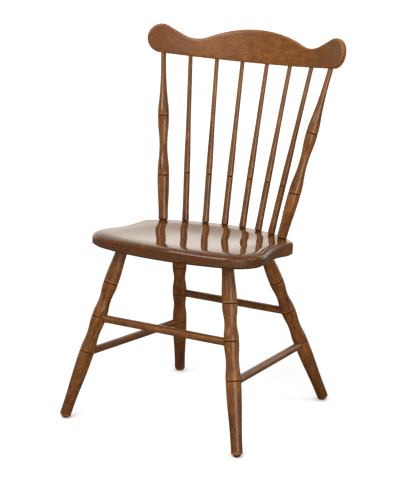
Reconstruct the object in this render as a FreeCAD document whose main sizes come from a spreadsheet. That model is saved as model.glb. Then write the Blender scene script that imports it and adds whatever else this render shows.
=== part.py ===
"""Windsor side chair: saddled seat, bamboo turned legs and posts, six spindles and a bent crest.

Millimetres. The chair stands on Z = 0 and faces -Y. X = 0 is its plane of symmetry.
Left and right are as seen from the front, so left is -X.
"""
import FreeCAD, Part
import math
import os
import Sketcher

VECTOR = FreeCAD.Vector
UP = VECTOR(0, 0, 1)
ORIGIN = VECTOR(0, 0, 0)
SIDES = (("left", -1), ("right", 1))

# Driving sizes. Stations on a turned piece run along its own axis.
SIZES = (
    ("seat_height", 446.7, "deck of the seat at Y = 0"),
    ("seat_tilt_angle", 3.4, "degrees that the seat falls towards its back"),
    ("seat_thickness", 35.0, "blank of the seat"),
    ("seat_front_at", 228.0, "front edge from the seat's centre"),
    ("seat_rear_at", 157.3, "rear edge from the seat's centre"),
    ("seat_rear_radius", 280.0, "sweep of the rear edge"),
    ("seat_rear_half", 211.5, "half width over the rear corners"),
    ("seat_corner_radius", 22.0, "rear corners in plan"),
    ("seat_waist_radius", 243.0, "hollow of each side in plan"),
    ("seat_front_half", 228.5, "half width over the front lobes"),
    ("seat_lobe_radius", 82.0, "front corners in plan"),
    ("seat_lobe_at", 120.0, "widest point of the lobes ahead of the centre"),
    ("seat_edge_round", 7.0, "rounding of the top edge"),
    ("seat_bevel_rise", 6.0, "height of the bevel around the underside"),
    ("seat_bevel_run", 10.0, "width of the bevel around the underside"),
    ("dish_depth", 10.4, "deepest point of the saddle"),
    ("dish_half_width", 142.0, "half width of one lobe of the saddle"),
    ("dish_half_length", 142.0, "half length of one lobe of the saddle"),
    ("dish_bowl", 120.0, "upright half axis of the bowl that hollows the saddle"),
    ("dish_lobe_offset", 20.0, "each lobe's centre from the middle"),
    ("dish_ahead", 19.0, "centre of the saddle ahead of the seat's centre"),
    ("leg_node_diameter", 36.0, "swellings of a leg"),
    ("leg_low_waist_diameter", 30.4, "waist between the low and the middle swelling"),
    ("leg_high_waist_diameter", 29.2, "waist between the middle and the top swelling"),
    ("leg_foot_diameter", 27.0, "foot of a leg"),
    ("leg_tenon_diameter", 29.0, "top of a leg, in its socket"),
    ("leg_tenon_length", 18.0, "depth of a leg in the seat"),
    ("leg_upper_pitch", 86.7, "top groove to middle groove"),
    ("leg_lower_pitch", 91.2, "middle groove to low groove"),
    ("leg_foot_chamfer", 3.0, "worn edge of the foot"),
    ("front_leg_node_drop", 92.3, "seat to the top groove of a front leg"),
    ("rear_leg_node_drop", 89.0, "seat to the top groove of a rear leg"),
    ("front_foot_half", 243.1, "front legs' axes on the floor, from the middle"),
    ("front_foot_ahead", 241.5, "front legs' axes on the floor, ahead of Y = 0"),
    ("rear_foot_half", 215.2, "rear legs' axes on the floor, from the middle"),
    ("rear_foot_behind", 242.3, "rear legs' axes on the floor, behind Y = 0"),
    ("front_leg_half", 145.1, "front sockets under the seat, from the middle"),
    ("front_leg_ahead", 134.5, "front sockets under the seat, ahead of its centre"),
    ("rear_leg_half", 120.7, "rear sockets under the seat, from the middle"),
    ("rear_leg_behind", 79.9, "rear sockets under the seat, behind its centre"),
    ("stretcher_diameter", 19.0, "all four stretchers"),
    ("mortise_past_axis", 4.0, "stretcher's end past the leg's axis"),
    ("front_stretcher_drop", 3.5, "front stretcher below the middle groove"),
    ("rear_stretcher_drop", 4.2, "rear stretcher below the middle groove"),
    ("side_stretcher_front_drop", 3.3, "side stretchers below the low groove of a front leg"),
    ("side_stretcher_rear_drop", 11.3, "side stretchers below the low groove of a rear leg"),
    ("groove_width", 2.2, "scored rings"),
    ("groove_depth", 1.1, "scored rings"),
    ("glide_diameter", 18.0, "nail-on glide"),
    ("glide_rim", 1.5, "straight edge of the glide"),
    ("glide_dome", 4.0, "height of the glide's dome"),
    ("glide_wear", 0.5, "flat worn on the dome where it meets the floor"),
    ("nail_diameter", 2.4, "shank of the glide"),
    ("nail_length", 14.0, "shank of the glide"),
    ("post_angle", 40.2, "degrees around the rear sweep to a post"),
    ("post_base_diameter", 24.0, "post at the deck"),
    ("post_node_diameter", 30.6, "lower swelling of a post"),
    ("post_upper_node_diameter", 29.0, "upper swelling of a post"),
    ("post_waist_diameter", 21.0, "waist of a post"),
    ("post_neck_diameter", 13.4, "post under the crest"),
    ("post_node_rise", 112.9, "deck to the lower groove"),
    ("post_node_drop", 159.5, "upper groove to the crest"),
    ("post_neck_length", 26.0, "straight neck under the crest"),
    ("post_foot_tenon_diameter", 19.0, "post in the seat"),
    ("post_foot_tenon_length", 26.0, "post in the seat"),
    ("post_head_tenon_diameter", 11.0, "post in the crest"),
    ("post_head_tenon_length", 22.0, "post in the crest"),
    ("spindle_margin", 19.0, "spindles' circle in from the rear edge"),
    ("spindle_angle", 11.2, "degrees around the rear sweep between spindles"),
    ("spindle_base_diameter", 17.6, "spindle at the deck"),
    ("spindle_swell_diameter", 16.2, "spindle under its groove"),
    ("spindle_waist_diameter", 12.2, "spindle where its taper eases"),
    ("spindle_neck_diameter", 10.8, "spindle under the crest"),
    ("spindle_groove_rise", 122.0, "deck to the groove"),
    ("spindle_foot_flare", 40.0, "height of the flare above the deck"),
    ("spindle_waist_drop", 125.0, "waist below the crest"),
    ("spindle_foot_tenon_diameter", 12.7, "spindle in the seat"),
    ("spindle_foot_tenon_length", 22.0, "spindle in the seat"),
    ("spindle_head_tenon_diameter", 9.0, "spindle in the crest"),
    ("spindle_head_tenon_length", 20.0, "spindle in the crest"),
    ("crest_rise", 389.7, "lower edge of the crest above the deck at Y = 0"),
    ("crest_set_back", 223.4, "lower edge of the crest behind Y = 0, at the middle"),
    ("crest_rake_angle", 12.9, "degrees that the crest leans back"),
    ("crest_radius", 559.3, "bend of the crest at mid thickness"),
    ("crest_thickness", 16.0, "crest"),
    ("crest_height", 82.4, "crest at the middle"),
    ("crest_angle", 7.12, "degrees around the bend between spindles"),
    ("crest_ear_radius", 36.3, "round ears"),
    ("crest_ear_at", 252.5, "centre of an ear from the middle, around the bend"),
    ("crest_dip_height", 45.6, "crest at its lowest, between crown and ear"),
    ("crest_dip_at", 167.0, "lowest point from the middle, around the bend"),
    ("crest_dip_radius", 80.0, "hollow between crown and ear"),
    ("crest_edge_round", 4.5, "rounding of the crest's edges"),
    ("pin_diameter", 4.0, "peg through the crest's back into a post"),
    ("pin_length", 13.0, "peg"),
    ("pin_rise", 11.0, "peg above the crest's lower edge"),
    ("shoulder_chamfer", 1.0, "eased rim of a shoulder"),
    ("glue_gap", 0.15, "radial room for glue in every socket"),
    ("end_gap", 1.0, "room past the end of every tenon"),
)

doc = FreeCAD.newDocument("windsor_chair")


def fill_sheet(name, rows):
    """Make a sheet with one aliased number and its note on each row."""
    sheet = doc.addObject("Spreadsheet::Sheet", name)
    for row, (alias, value, note) in enumerate(rows, start=1):
        sheet.set("A%d" % row, note)
        sheet.set("B%d" % row, repr(float(value)))
        sheet.setAlias("B%d" % row, alias)
    doc.recompute()
    return sheet


sheet = fill_sheet("Sizes", SIZES)


def size(alias):
    """Read one driving size."""
    return float(getattr(sheet, alias))


def radians(alias):
    """Read one driving angle."""
    return math.radians(size(alias))


# Layout: where every axis runs, from the sizes above.
SEAT_PLACE = FreeCAD.Placement(
    VECTOR(0, 0, size("seat_height")), FreeCAD.Rotation(VECTOR(1, 0, 0), -size("seat_tilt_angle"))
)
CREST_PLACE = FreeCAD.Placement(
    VECTOR(0, size("crest_set_back"), size("seat_height") + size("crest_rise")),
    FreeCAD.Rotation(VECTOR(1, 0, 0), -size("crest_rake_angle")),
)
DOME_RADIUS = (size("glide_diameter") ** 2 / 4 + size("glide_dome") ** 2) / (2 * size("glide_dome"))
GLIDE_HEIGHT = size("glide_rim") + size("glide_dome")


class Axis:
    """A straight line from one point towards another."""

    def __init__(self, start, end):
        self.start = start
        self.direction = (end - start).normalize()
        self.length = start.distanceToPoint(end)

    def at(self, station):
        """Point at a distance from the start."""
        return self.start + self.direction * station

    def placement(self, station=0.0):
        """Frame whose Z runs along the axis, with its origin at a station."""
        return FreeCAD.Placement(self.at(station), FreeCAD.Rotation(UP, self.direction))

    def lean(self, normal):
        """Angle between the axis and a surface's normal."""
        return self.direction.getAngle(normal)


def leg_axis(end, side):
    """Axis of a leg, from its foot's end face to its socket in the seat's underside."""
    floor_half = side * size(end + "_foot_half")
    if end == "front":
        floor = VECTOR(floor_half, -size("front_foot_ahead"), 0)
        along_seat = -size("front_leg_ahead")
    else:
        floor = VECTOR(floor_half, size("rear_foot_behind"), 0)
        along_seat = size("rear_leg_behind")
    socket = VECTOR(side * size(end + "_leg_half"), along_seat, -size("seat_thickness"))
    line = Axis(floor, SEAT_PLACE.multVec(socket))
    slope = line.direction.z
    rise = DOME_RADIUS - size("glide_wear") - (DOME_RADIUS - GLIDE_HEIGHT) * slope
    return Axis(line.at(rise / slope), SEAT_PLACE.multVec(socket))


def deck_point(angle):
    """Point on the deck, on the circle that the posts and spindles stand on."""
    radius = size("seat_rear_radius") - size("spindle_margin")
    centre = size("seat_rear_at") - size("seat_rear_radius")
    x = radius * math.sin(math.radians(angle))
    y = centre + radius * math.cos(math.radians(angle))
    return SEAT_PLACE.multVec(VECTOR(x, y, 0))


def crest_point(angle, rise=0.0, outward=0.0):
    """Point in the crest: around its bend, up from its lower edge, out from mid thickness."""
    radius = size("crest_radius") + outward
    x = radius * math.sin(math.radians(angle))
    y = radius * math.cos(math.radians(angle)) - size("crest_radius")
    return CREST_PLACE.multVec(VECTOR(x, y, rise))


def back_axis(index):
    """Axis of a spindle (index 0.5, 1.5, 2.5 from the middle) or of a post (3.5)."""
    side = 1 if index > 0 else -1
    angle = index * size("spindle_angle")
    if abs(index) > 3:
        angle = side * size("post_angle")
    return Axis(deck_point(angle), crest_point(index * size("crest_angle")))


SEAT_NORMAL = SEAT_PLACE.Rotation.multVec(UP)
CREST_NORMAL = CREST_PLACE.Rotation.multVec(UP)
SPINDLE_INDEXES = (-2.5, -1.5, -0.5, 0.5, 1.5, 2.5)
LEGS = {
    (end, name): leg_axis(end, side) for end in ("front", "rear") for name, side in SIDES
}
POSTS = {name: back_axis(3.5 * side) for name, side in SIDES}
SPINDLES = [back_axis(index) for index in SPINDLE_INDEXES]


def groove_station(end, groove):
    """Station of a leg's top, middle or low groove, from its foot."""
    station = LEGS[(end, "left")].length - size(end + "_leg_node_drop")
    if groove in ("middle", "low"):
        station -= size("leg_upper_pitch")
    if groove == "low":
        station -= size("leg_lower_pitch")
    return station


def stretcher_axis(first, second, groove, offsets):
    """Axis between two legs, with its ends just past the legs' axes."""
    points = [
        LEGS[leg].at(groove_station(leg[0], groove) + offset)
        for leg, offset in zip((first, second), offsets)
    ]
    line = Axis(points[0], points[1])
    past = size("mortise_past_axis")
    return Axis(line.at(-past), line.at(line.length + past))


SIDE_DROPS = (-size("side_stretcher_front_drop"), -size("side_stretcher_rear_drop"))
STRETCHERS = {
    "front_stretcher": stretcher_axis(
        ("front", "left"), ("front", "right"), "middle", 2 * (-size("front_stretcher_drop"),)
    ),
    "rear_stretcher": stretcher_axis(
        ("rear", "left"), ("rear", "right"), "middle", 2 * (-size("rear_stretcher_drop"),)
    ),
    "left_stretcher": stretcher_axis(("front", "left"), ("rear", "left"), "low", SIDE_DROPS),
    "right_stretcher": stretcher_axis(("front", "right"), ("rear", "right"), "low", SIDE_DROPS),
}


def most_room(diameter, axes, normal):
    """How far a square shoulder stands off a slanted surface for its rim to clear it."""
    return max(size(diameter) / 2 * math.tan(axis.lean(normal)) for axis in axes)


# Lengths that follow from the layout, one sheet for the pieces to read.
SPANS = (
    ("front_leg_span", LEGS[("front", "left")].length, "foot to seat"),
    ("rear_leg_span", LEGS[("rear", "left")].length, "foot to seat"),
    ("post_span", POSTS["left"].length, "deck to crest"),
    ("outer_spindle_span", SPINDLES[0].length, "deck to crest"),
    ("middle_spindle_span", SPINDLES[1].length, "deck to crest"),
    ("inner_spindle_span", SPINDLES[2].length, "deck to crest"),
    ("post_foot_room", most_room("post_base_diameter", POSTS.values(), SEAT_NORMAL), "off the deck"),
    ("post_head_room", most_room("post_neck_diameter", POSTS.values(), CREST_NORMAL), "off the crest"),
    ("spindle_foot_room", most_room("spindle_base_diameter", SPINDLES, SEAT_NORMAL), "off the deck"),
    ("spindle_head_room", most_room("spindle_neck_diameter", SPINDLES, CREST_NORMAL), "off the crest"),
    ("front_stretcher_length", STRETCHERS["front_stretcher"].length, "end to end"),
    ("rear_stretcher_length", STRETCHERS["rear_stretcher"].length, "end to end"),
    ("side_stretcher_length", STRETCHERS["left_stretcher"].length, "end to end"),
)
spans = fill_sheet("Spans", SPANS)


# Sketches and turned bodies.
def new_body(name):
    """Make an empty body."""
    return doc.addObject("PartDesign::Body", name)


def new_sketch(body, name, role):
    """Make a sketch on one of the body's own origin planes."""
    sketch = body.newObject("Sketcher::SketchObject", name)
    plane = next(item for item in body.Origin.OriginFeatures if item.Role == role)
    sketch.AttachmentSupport = (plane, "")
    sketch.MapMode = "FlatFace"
    return sketch


def value_of(expression):
    """Number that an expression on the sheets gives."""
    return float(sheet.evalExpression(expression))


def add_distance(sketch, kind, geometry, point, expression):
    """Hold a point's X or Y at an expression."""
    if expression == "0":
        line = -2 if kind == "DistanceX" else -1
        sketch.addConstraint(Sketcher.Constraint("PointOnObject", geometry, point, line))
        return
    value = value_of(expression)
    index = sketch.addConstraint(Sketcher.Constraint(kind, -1, 1, geometry, point, value))
    sketch.setExpression("Constraints[%d]" % index, expression)


def add_radius(sketch, geometry, expression):
    """Hold an arc's radius at an expression."""
    index = sketch.addConstraint(Sketcher.Constraint("Radius", geometry, value_of(expression)))
    sketch.setExpression("Constraints[%d]" % index, expression)


def end_near(sketch, geometry, target):
    """Which end of a curve, 1 or 2, lies at a point."""
    near = sketch.getPoint(geometry, 1).distanceToPoint(target)
    far = sketch.getPoint(geometry, 2).distanceToPoint(target)
    return 1 if near < far else 2


def arc_through(centre, start, end):
    """The shorter arc about a centre from one point to another."""
    middle = (start - centre).normalize() + (end - centre).normalize()
    radius = start.distanceToPoint(centre)
    return Part.Arc(start, centre + middle.normalize() * radius, end)


class Profile:
    """Half section of a turned piece: points (radius, station) joined by lines and ogees."""

    def __init__(self, station="0"):
        self.points = [("0", station)]
        self.curves = []

    def line(self, radius, station):
        """Run straight to a point."""
        self.points.append((radius, station))
        self.curves.append("line")
        return self

    def dome(self, radius, station):
        """Run from the axis to a point on an arc centred on the axis."""
        self.points.append((radius, station))
        self.curves.append("dome")
        return self

    def ogee(self, radius, station, share="0.5"):
        """Run to a point on two arcs that start and end parallel to the axis."""
        last_radius, last_station = self.points[-1]
        middle = (
            "(%s) + (%s) * ((%s) - (%s))" % (last_radius, share, radius, last_radius),
            "(%s) + (%s) * ((%s) - (%s))" % (last_station, share, station, last_station),
        )
        self.points.append(middle)
        self.curves.append("leaving")
        self.points.append((radius, station))
        self.curves.append("arriving")
        return self

    def groove(self, radius, station):
        """Cut a scored ring, from a point one half width below it."""
        self.line("(%s) - Sizes.groove_depth" % radius, station)
        return self.line(radius, "(%s) + Sizes.groove_width / 2" % station)

    def close(self):
        """Run back to the axis at the last station."""
        return self.line("0", self.points[-1][1])

    def draw(self, sketch):
        """Draw the closed section and hold every point at its expressions."""
        spots = [VECTOR(value_of(x), value_of(y), 0) for x, y in self.points]
        count = len(spots)
        kinds = self.curves + ["line"]
        ends = []
        for index, kind in enumerate(kinds):
            start = spots[index]
            end = spots[(index + 1) % count]
            geometry = sketch.addGeometry(section_curve(kind, start, end), False)
            first = end_near(sketch, geometry, start)
            ends.append((geometry, first, 3 - first))
        for index, (geometry, first, last) in enumerate(ends):
            following, following_first, _ = ends[(index + 1) % count]
            sketch.addConstraint(
                Sketcher.Constraint("Coincident", geometry, last, following, following_first)
            )
            radius, station = self.points[index]
            add_distance(sketch, "DistanceX", geometry, first, radius)
            add_distance(sketch, "DistanceY", geometry, first, station)
            if kinds[index] != "line":
                trend = "Vertical" if kinds[index] == "dome" else "Horizontal"
                level = last if kinds[index] == "arriving" else first
                sketch.addConstraint(Sketcher.Constraint(trend, geometry, 3, geometry, level))


def section_curve(kind, start, end):
    """Line, or the arc that leaves or arrives parallel to the axis, or leaves square to it."""
    if kind == "line":
        return Part.LineSegment(start, end)
    chord = start.distanceToPoint(end)
    if kind == "dome":
        centre = VECTOR(start.x, start.y + chord ** 2 / (2 * (end.y - start.y)), 0)
        return arc_through(centre, start, end)
    across = end.x - start.x
    radius = chord ** 2 / (2 * across)
    if kind == "leaving":
        centre = VECTOR(start.x + radius, start.y, 0)
    else:
        centre = VECTOR(end.x - radius, end.y, 0)
    return arc_through(centre, start, end)


def turned_body(name, profile):
    """Revolve a profile about Z."""
    body = new_body(name)
    sketch = new_sketch(body, name + "_section", "XZ_Plane")
    profile.draw(sketch)
    turning = body.newObject("PartDesign::Revolution", name + "_turning")
    turning.Profile = sketch
    turning.ReferenceAxis = (sketch, ["V_Axis"])
    turning.Angle = 360
    body.Tip = turning
    return body


# Cutting tools and finished pieces.
def rod(name, axis, station, length, radius_expression):
    """Cylinder along an axis, from a station."""
    tool = doc.addObject("Part::Cylinder", name)
    tool.setExpression("Radius", radius_expression)
    tool.Height = length
    tool.Placement = axis.placement(station)
    return tool


def cut_piece(label, base, tools):
    """Finished piece: a base with every tool taken out of it."""
    tool = tools[0]
    if len(tools) > 1:
        tool = doc.addObject("Part::MultiFuse", label + "_tools")
        tool.Shapes = tools
    piece = doc.addObject("Part::Cut", label + "_piece")
    piece.Base = base
    piece.Tool = tool
    return name_piece(piece, label)


PIECES = []


def name_piece(piece, label):
    """Give a finished piece its name and keep it for export."""
    piece.Label = label
    PIECES.append(piece)
    return piece


def socket_radius(alias):
    """Radius of the socket for a tenon, peg or shank of a named diameter."""
    return "Sizes.%s / 2 + Sizes.glue_gap" % alias


# Seat.
def seat_outline_points():
    """Centres, radii and joints of the seat's half outline, from the rear to the front."""
    rear_radius = size("seat_rear_radius")
    corner_radius = size("seat_corner_radius")
    waist_radius = size("seat_waist_radius")
    lobe_radius = size("seat_lobe_radius")
    rear = VECTOR(0, size("seat_rear_at") - rear_radius, 0)
    corner_x = size("seat_rear_half") - corner_radius
    reach = rear_radius - corner_radius
    corner = VECTOR(corner_x, rear.y + math.sqrt(reach ** 2 - corner_x ** 2), 0)
    lobe = VECTOR(size("seat_front_half") - lobe_radius, -size("seat_lobe_at"), 0)
    waist = outer_meeting(corner, corner_radius + waist_radius, lobe, lobe_radius + waist_radius)
    ahead = size("seat_front_at") - size("seat_lobe_at")
    front_radius = (lobe.x ** 2 + ahead ** 2 - lobe_radius ** 2) / (2 * (ahead - lobe_radius))
    front = VECTOR(0, front_radius - size("seat_front_at"), 0)
    joints = (
        VECTOR(0, size("seat_rear_at"), 0),
        rear + (corner - rear).normalize() * rear_radius,
        corner + (waist - corner).normalize() * corner_radius,
        lobe + (waist - lobe).normalize() * lobe_radius,
        front + (lobe - front).normalize() * front_radius,
        VECTOR(0, -size("seat_front_at"), 0),
    )
    return (rear, corner, waist, lobe, front), joints


def outer_meeting(first, first_reach, second, second_reach):
    """Point at two distances from two others, on the +X side of them."""
    line = Axis(first, second)
    along = (line.length ** 2 + first_reach ** 2 - second_reach ** 2) / (2 * line.length)
    across = math.sqrt(first_reach ** 2 - along ** 2)
    side = VECTOR(-line.direction.y, line.direction.x, 0)
    if side.x < 0:
        side = side * -1
    return line.at(along) + side * across


def draw_seat_outline(sketch):
    """Half of the seat in plan: five tangent arcs and the line of symmetry."""
    centres, joints = seat_outline_points()
    arcs = []
    for index, centre in enumerate(centres):
        arc = arc_through(centre, joints[index], joints[index + 1])
        geometry = sketch.addGeometry(arc, False)
        first = end_near(sketch, geometry, joints[index])
        arcs.append((geometry, first, 3 - first))
    middle = sketch.addGeometry(Part.LineSegment(joints[-1], joints[0]), False)
    for (geometry, _, last), (following, first, _) in zip(arcs, arcs[1:]):
        sketch.addConstraint(Sketcher.Constraint("Tangent", geometry, last, following, first))
    rear, corner, waist, lobe, front = arcs
    sketch.addConstraint(Sketcher.Constraint("Coincident", front[0], front[2], middle, 1))
    sketch.addConstraint(Sketcher.Constraint("Coincident", middle, 2, rear[0], rear[1]))
    add_distance(sketch, "DistanceX", middle, 1, "0")
    add_distance(sketch, "DistanceX", middle, 2, "0")
    add_distance(sketch, "DistanceX", rear[0], 3, "0")
    add_distance(sketch, "DistanceX", front[0], 3, "0")
    add_distance(sketch, "DistanceY", middle, 2, "Sizes.seat_rear_at")
    add_distance(sketch, "DistanceY", middle, 1, "-Sizes.seat_front_at")
    add_distance(sketch, "DistanceX", corner[0], 3, "Sizes.seat_rear_half - Sizes.seat_corner_radius")
    add_distance(sketch, "DistanceX", lobe[0], 3, "Sizes.seat_front_half - Sizes.seat_lobe_radius")
    add_distance(sketch, "DistanceY", lobe[0], 3, "-Sizes.seat_lobe_at")
    add_radius(sketch, rear[0], "Sizes.seat_rear_radius")
    add_radius(sketch, corner[0], "Sizes.seat_corner_radius")
    add_radius(sketch, waist[0], "Sizes.seat_waist_radius")
    add_radius(sketch, lobe[0], "Sizes.seat_lobe_radius")


def rim_edges(shape, height):
    """Names of a shape's edges that lie wholly at one height."""
    names = []
    for number, edge in enumerate(shape.Edges, start=1):
        box = edge.BoundBox
        if abs(box.ZMin - height) < 0.001 and abs(box.ZMax - height) < 0.001:
            names.append("Edge%d" % number)
    return names


def seat_blank():
    """Sawn seat with its top edge rounded and its underside bevelled."""
    body = new_body("seat_blank")
    sketch = new_sketch(body, "seat_half_outline", "XY_Plane")
    draw_seat_outline(sketch)
    pad = body.newObject("PartDesign::Pad", "seat_half")
    pad.Profile = sketch
    pad.Reversed = True
    pad.setExpression("Length", "Sizes.seat_thickness")
    whole = body.newObject("PartDesign::Mirrored", "seat_whole")
    whole.Originals = [pad]
    whole.MirrorPlane = (sketch, ["V_Axis"])
    body.Tip = whole
    doc.recompute()
    rounding = body.newObject("PartDesign::Fillet", "seat_top_edge")
    rounding.Base = (whole, rim_edges(whole.Shape, 0.0))
    rounding.setExpression("Radius", "Sizes.seat_edge_round")
    doc.recompute()
    bevel = body.newObject("PartDesign::Chamfer", "seat_under_bevel")
    bevel.Base = (rounding, rim_edges(rounding.Shape, -size("seat_thickness")))
    bevel.ChamferType = "Two distances"
    bevel.setExpression("Size", "Sizes.seat_bevel_run")
    bevel.setExpression("Size2", "Sizes.seat_bevel_rise")
    body.Tip = bevel
    body.Placement = SEAT_PLACE
    return body


def saddle_lobe(name, side):
    """Bowl that hollows one side of the saddle."""
    bowl = doc.addObject("Part::Ellipsoid", name)
    spread = "sqrt(1 - ((Sizes.dish_bowl - Sizes.dish_depth) / Sizes.dish_bowl) ^ 2)"
    bowl.setExpression("Radius1", "Sizes.dish_bowl")
    bowl.setExpression("Radius2", "Sizes.dish_half_width / " + spread)
    bowl.setExpression("Radius3", "Sizes.dish_half_length / " + spread)
    height = size("dish_bowl") - size("dish_depth")
    centre = VECTOR(side * size("dish_lobe_offset"), -size("dish_ahead"), height)
    bowl.Placement = SEAT_PLACE.multiply(FreeCAD.Placement(centre, FreeCAD.Rotation()))
    return bowl


def make_seat():
    """Seat with its saddle and every socket."""
    tools = [saddle_lobe("saddle_" + name, side) for name, side in SIDES]
    for (end, name), axis in LEGS.items():
        tool_name = "leg_socket_%s_%s" % (end, name)
        tools.append(seat_socket(tool_name, axis, axis.length, "leg_tenon"))
    for name, axis in POSTS.items():
        tools.append(seat_socket("post_socket_" + name, axis, 0.0, "post_foot_tenon"))
    for number, axis in enumerate(SPINDLES, start=1):
        tools.append(seat_socket("spindle_socket_%d" % number, axis, 0.0, "spindle_foot_tenon"))
    cut_piece("seat", seat_blank(), tools)


def seat_socket(name, axis, surface, tenon):
    """Socket that is deep enough for a tenon on either side of the seat's surface."""
    depth = size(tenon + "_length") + size("end_gap")
    return rod(name, axis, surface - depth, 2 * depth, socket_radius(tenon + "_diameter"))


# Legs, stretchers and glides.
def leg_profile(end):
    """Foot, three scored swellings with waists between, and a straight tenon."""
    foot = "Sizes.leg_foot_diameter / 2"
    node = "Sizes.leg_node_diameter / 2"
    low_waist = "Sizes.leg_low_waist_diameter / 2"
    high_waist = "Sizes.leg_high_waist_diameter / 2"
    tenon = "Sizes.leg_tenon_diameter / 2"
    span = "Spans.%s_leg_span" % end
    top = "%s - Sizes.%s_leg_node_drop" % (span, end)
    middle = top + " - Sizes.leg_upper_pitch"
    low = middle + " - Sizes.leg_lower_pitch"
    half_groove = "Sizes.groove_width / 2"
    profile = Profile()
    profile.line(foot + " - Sizes.leg_foot_chamfer", "0")
    profile.line(foot, "Sizes.leg_foot_chamfer")
    profile.ogee(node, "%s - %s" % (low, half_groove))
    profile.groove(node, low)
    profile.ogee(low_waist, "%s + Sizes.leg_lower_pitch / 2" % low, "0.55")
    profile.ogee(node, "%s - %s" % (middle, half_groove), "0.45")
    profile.groove(node, middle)
    profile.ogee(high_waist, "%s + Sizes.leg_upper_pitch / 2" % middle, "0.55")
    profile.ogee(node, "%s - %s" % (top, half_groove), "0.45")
    profile.groove(node, top)
    profile.ogee(tenon, span)
    profile.line(tenon, span + " + Sizes.leg_tenon_length")
    return profile.close()


def glide_profile():
    """Domed disc with a pointed shank, from the dome upwards."""
    rim = "Sizes.glide_diameter / 2"
    shank = "Sizes.nail_diameter / 2"
    disc = "Sizes.glide_dome + Sizes.glide_rim"
    profile = Profile().dome(rim, "Sizes.glide_dome")
    profile.line(rim, disc)
    profile.line(shank, disc)
    profile.line(shank, disc + " + Sizes.nail_length")
    return profile.line("0", "%s + Sizes.nail_length + Sizes.nail_diameter" % disc)


def mortises(end, side_name):
    """Tools for the stretchers that meet one leg."""
    across = STRETCHERS[end + "_stretcher"]
    along = STRETCHERS[side_name + "_stretcher"]
    deep = size("leg_node_diameter")
    tools = []
    meetings = (("cross", across, side_name == "left"), ("side", along, end == "front"))
    for label, axis, at_start in meetings:
        name = "%s_mortise_%s_%s" % (label, end, side_name)
        start = -size("end_gap") if at_start else axis.length - deep
        tools.append(rod(name, axis, start, deep + size("end_gap"), socket_radius("stretcher_diameter")))
    return tools


def make_legs():
    """Four legs of one pattern, each with a glide nailed under its foot."""
    floor = doc.addObject("Part::Cylinder", "floor")
    floor.setExpression("Radius", "2 * Sizes.seat_height")
    floor.setExpression("Height", "Sizes.seat_height")
    floor.Placement = FreeCAD.Placement(VECTOR(0, 0, -size("seat_height")), FreeCAD.Rotation())
    for (end, name), axis in LEGS.items():
        label = "%s_%s" % (end, name)
        turning = turned_body("leg_turning_" + label, leg_profile(end))
        turning.Placement = axis.placement()
        nail = size("nail_length") + size("nail_diameter") + size("end_gap")
        hole = rod("nail_hole_" + label, axis, -size("end_gap"), nail, socket_radius("nail_diameter"))
        cut_piece("leg_" + label, turning, [hole] + mortises(end, name))
        glide = turned_body("glide_turning_" + label, glide_profile())
        glide.Placement = axis.placement(-GLIDE_HEIGHT)
        cut_piece("glide_" + label, glide, [floor])


def make_stretchers():
    """Four plain dowels with eased ends."""
    radius = "Sizes.stretcher_diameter / 2"
    ease = "Sizes.shoulder_chamfer"
    for name, axis in STRETCHERS.items():
        span = "Spans.%s_length" % name.replace("left", "side").replace("right", "side")
        profile = Profile()
        profile.line("%s - %s" % (radius, ease), "0").line(radius, ease)
        profile.line(radius, "%s - %s" % (span, ease)).line("%s - %s" % (radius, ease), span)
        body = turned_body(name + "_dowel", profile.close())
        body.Placement = axis.placement()
        name_piece(body, name)


# Back: posts, spindles, crest and pegs.
def foot_tenon(profile, tenon, depth, body_radius, room):
    """Start a piece of the back with its foot tenon and the shoulder above the deck."""
    profile.line(tenon, "0")
    profile.line(tenon, "%s + %s" % (depth, room))
    profile.line("%s - Sizes.shoulder_chamfer" % body_radius, "%s + %s" % (depth, room))
    profile.line(body_radius, "%s + %s + Sizes.shoulder_chamfer" % (depth, room))


def head_tenon(profile, neck, tenon, shoulder, end):
    """Finish a piece of the back with the shoulder and the tenon that enter the crest."""
    profile.line(neck, shoulder)
    profile.line(tenon, shoulder)
    profile.line(tenon, end)
    return profile.close()


def post_profile():
    """Base, two scored swellings with a waist between, and a slim neck."""
    base = "Sizes.post_base_diameter / 2"
    lower = "Sizes.post_node_diameter / 2"
    upper = "Sizes.post_upper_node_diameter / 2"
    waist = "Sizes.post_waist_diameter / 2"
    neck = "Sizes.post_neck_diameter / 2"
    deck = "Sizes.post_foot_tenon_length"
    crest = deck + " + Spans.post_span"
    low = deck + " + Sizes.post_node_rise"
    high = crest + " - Sizes.post_node_drop"
    half_groove = "Sizes.groove_width / 2"
    profile = Profile()
    tenon = "Sizes.post_foot_tenon_diameter / 2"
    foot_tenon(profile, tenon, deck, base, "Spans.post_foot_room")
    profile.ogee(lower, "%s - %s" % (low, half_groove))
    profile.groove(lower, low)
    profile.ogee(waist, "(%s + %s) / 2" % (low, high))
    profile.ogee(upper, "%s - %s" % (high, half_groove))
    profile.groove(upper, high)
    profile.ogee(neck, crest + " - Sizes.post_neck_length", "0.2")
    shoulder = crest + " - Spans.post_head_room"
    end = crest + " + Sizes.post_head_tenon_length"
    return head_tenon(profile, neck, "Sizes.post_head_tenon_diameter / 2", shoulder, end)


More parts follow.
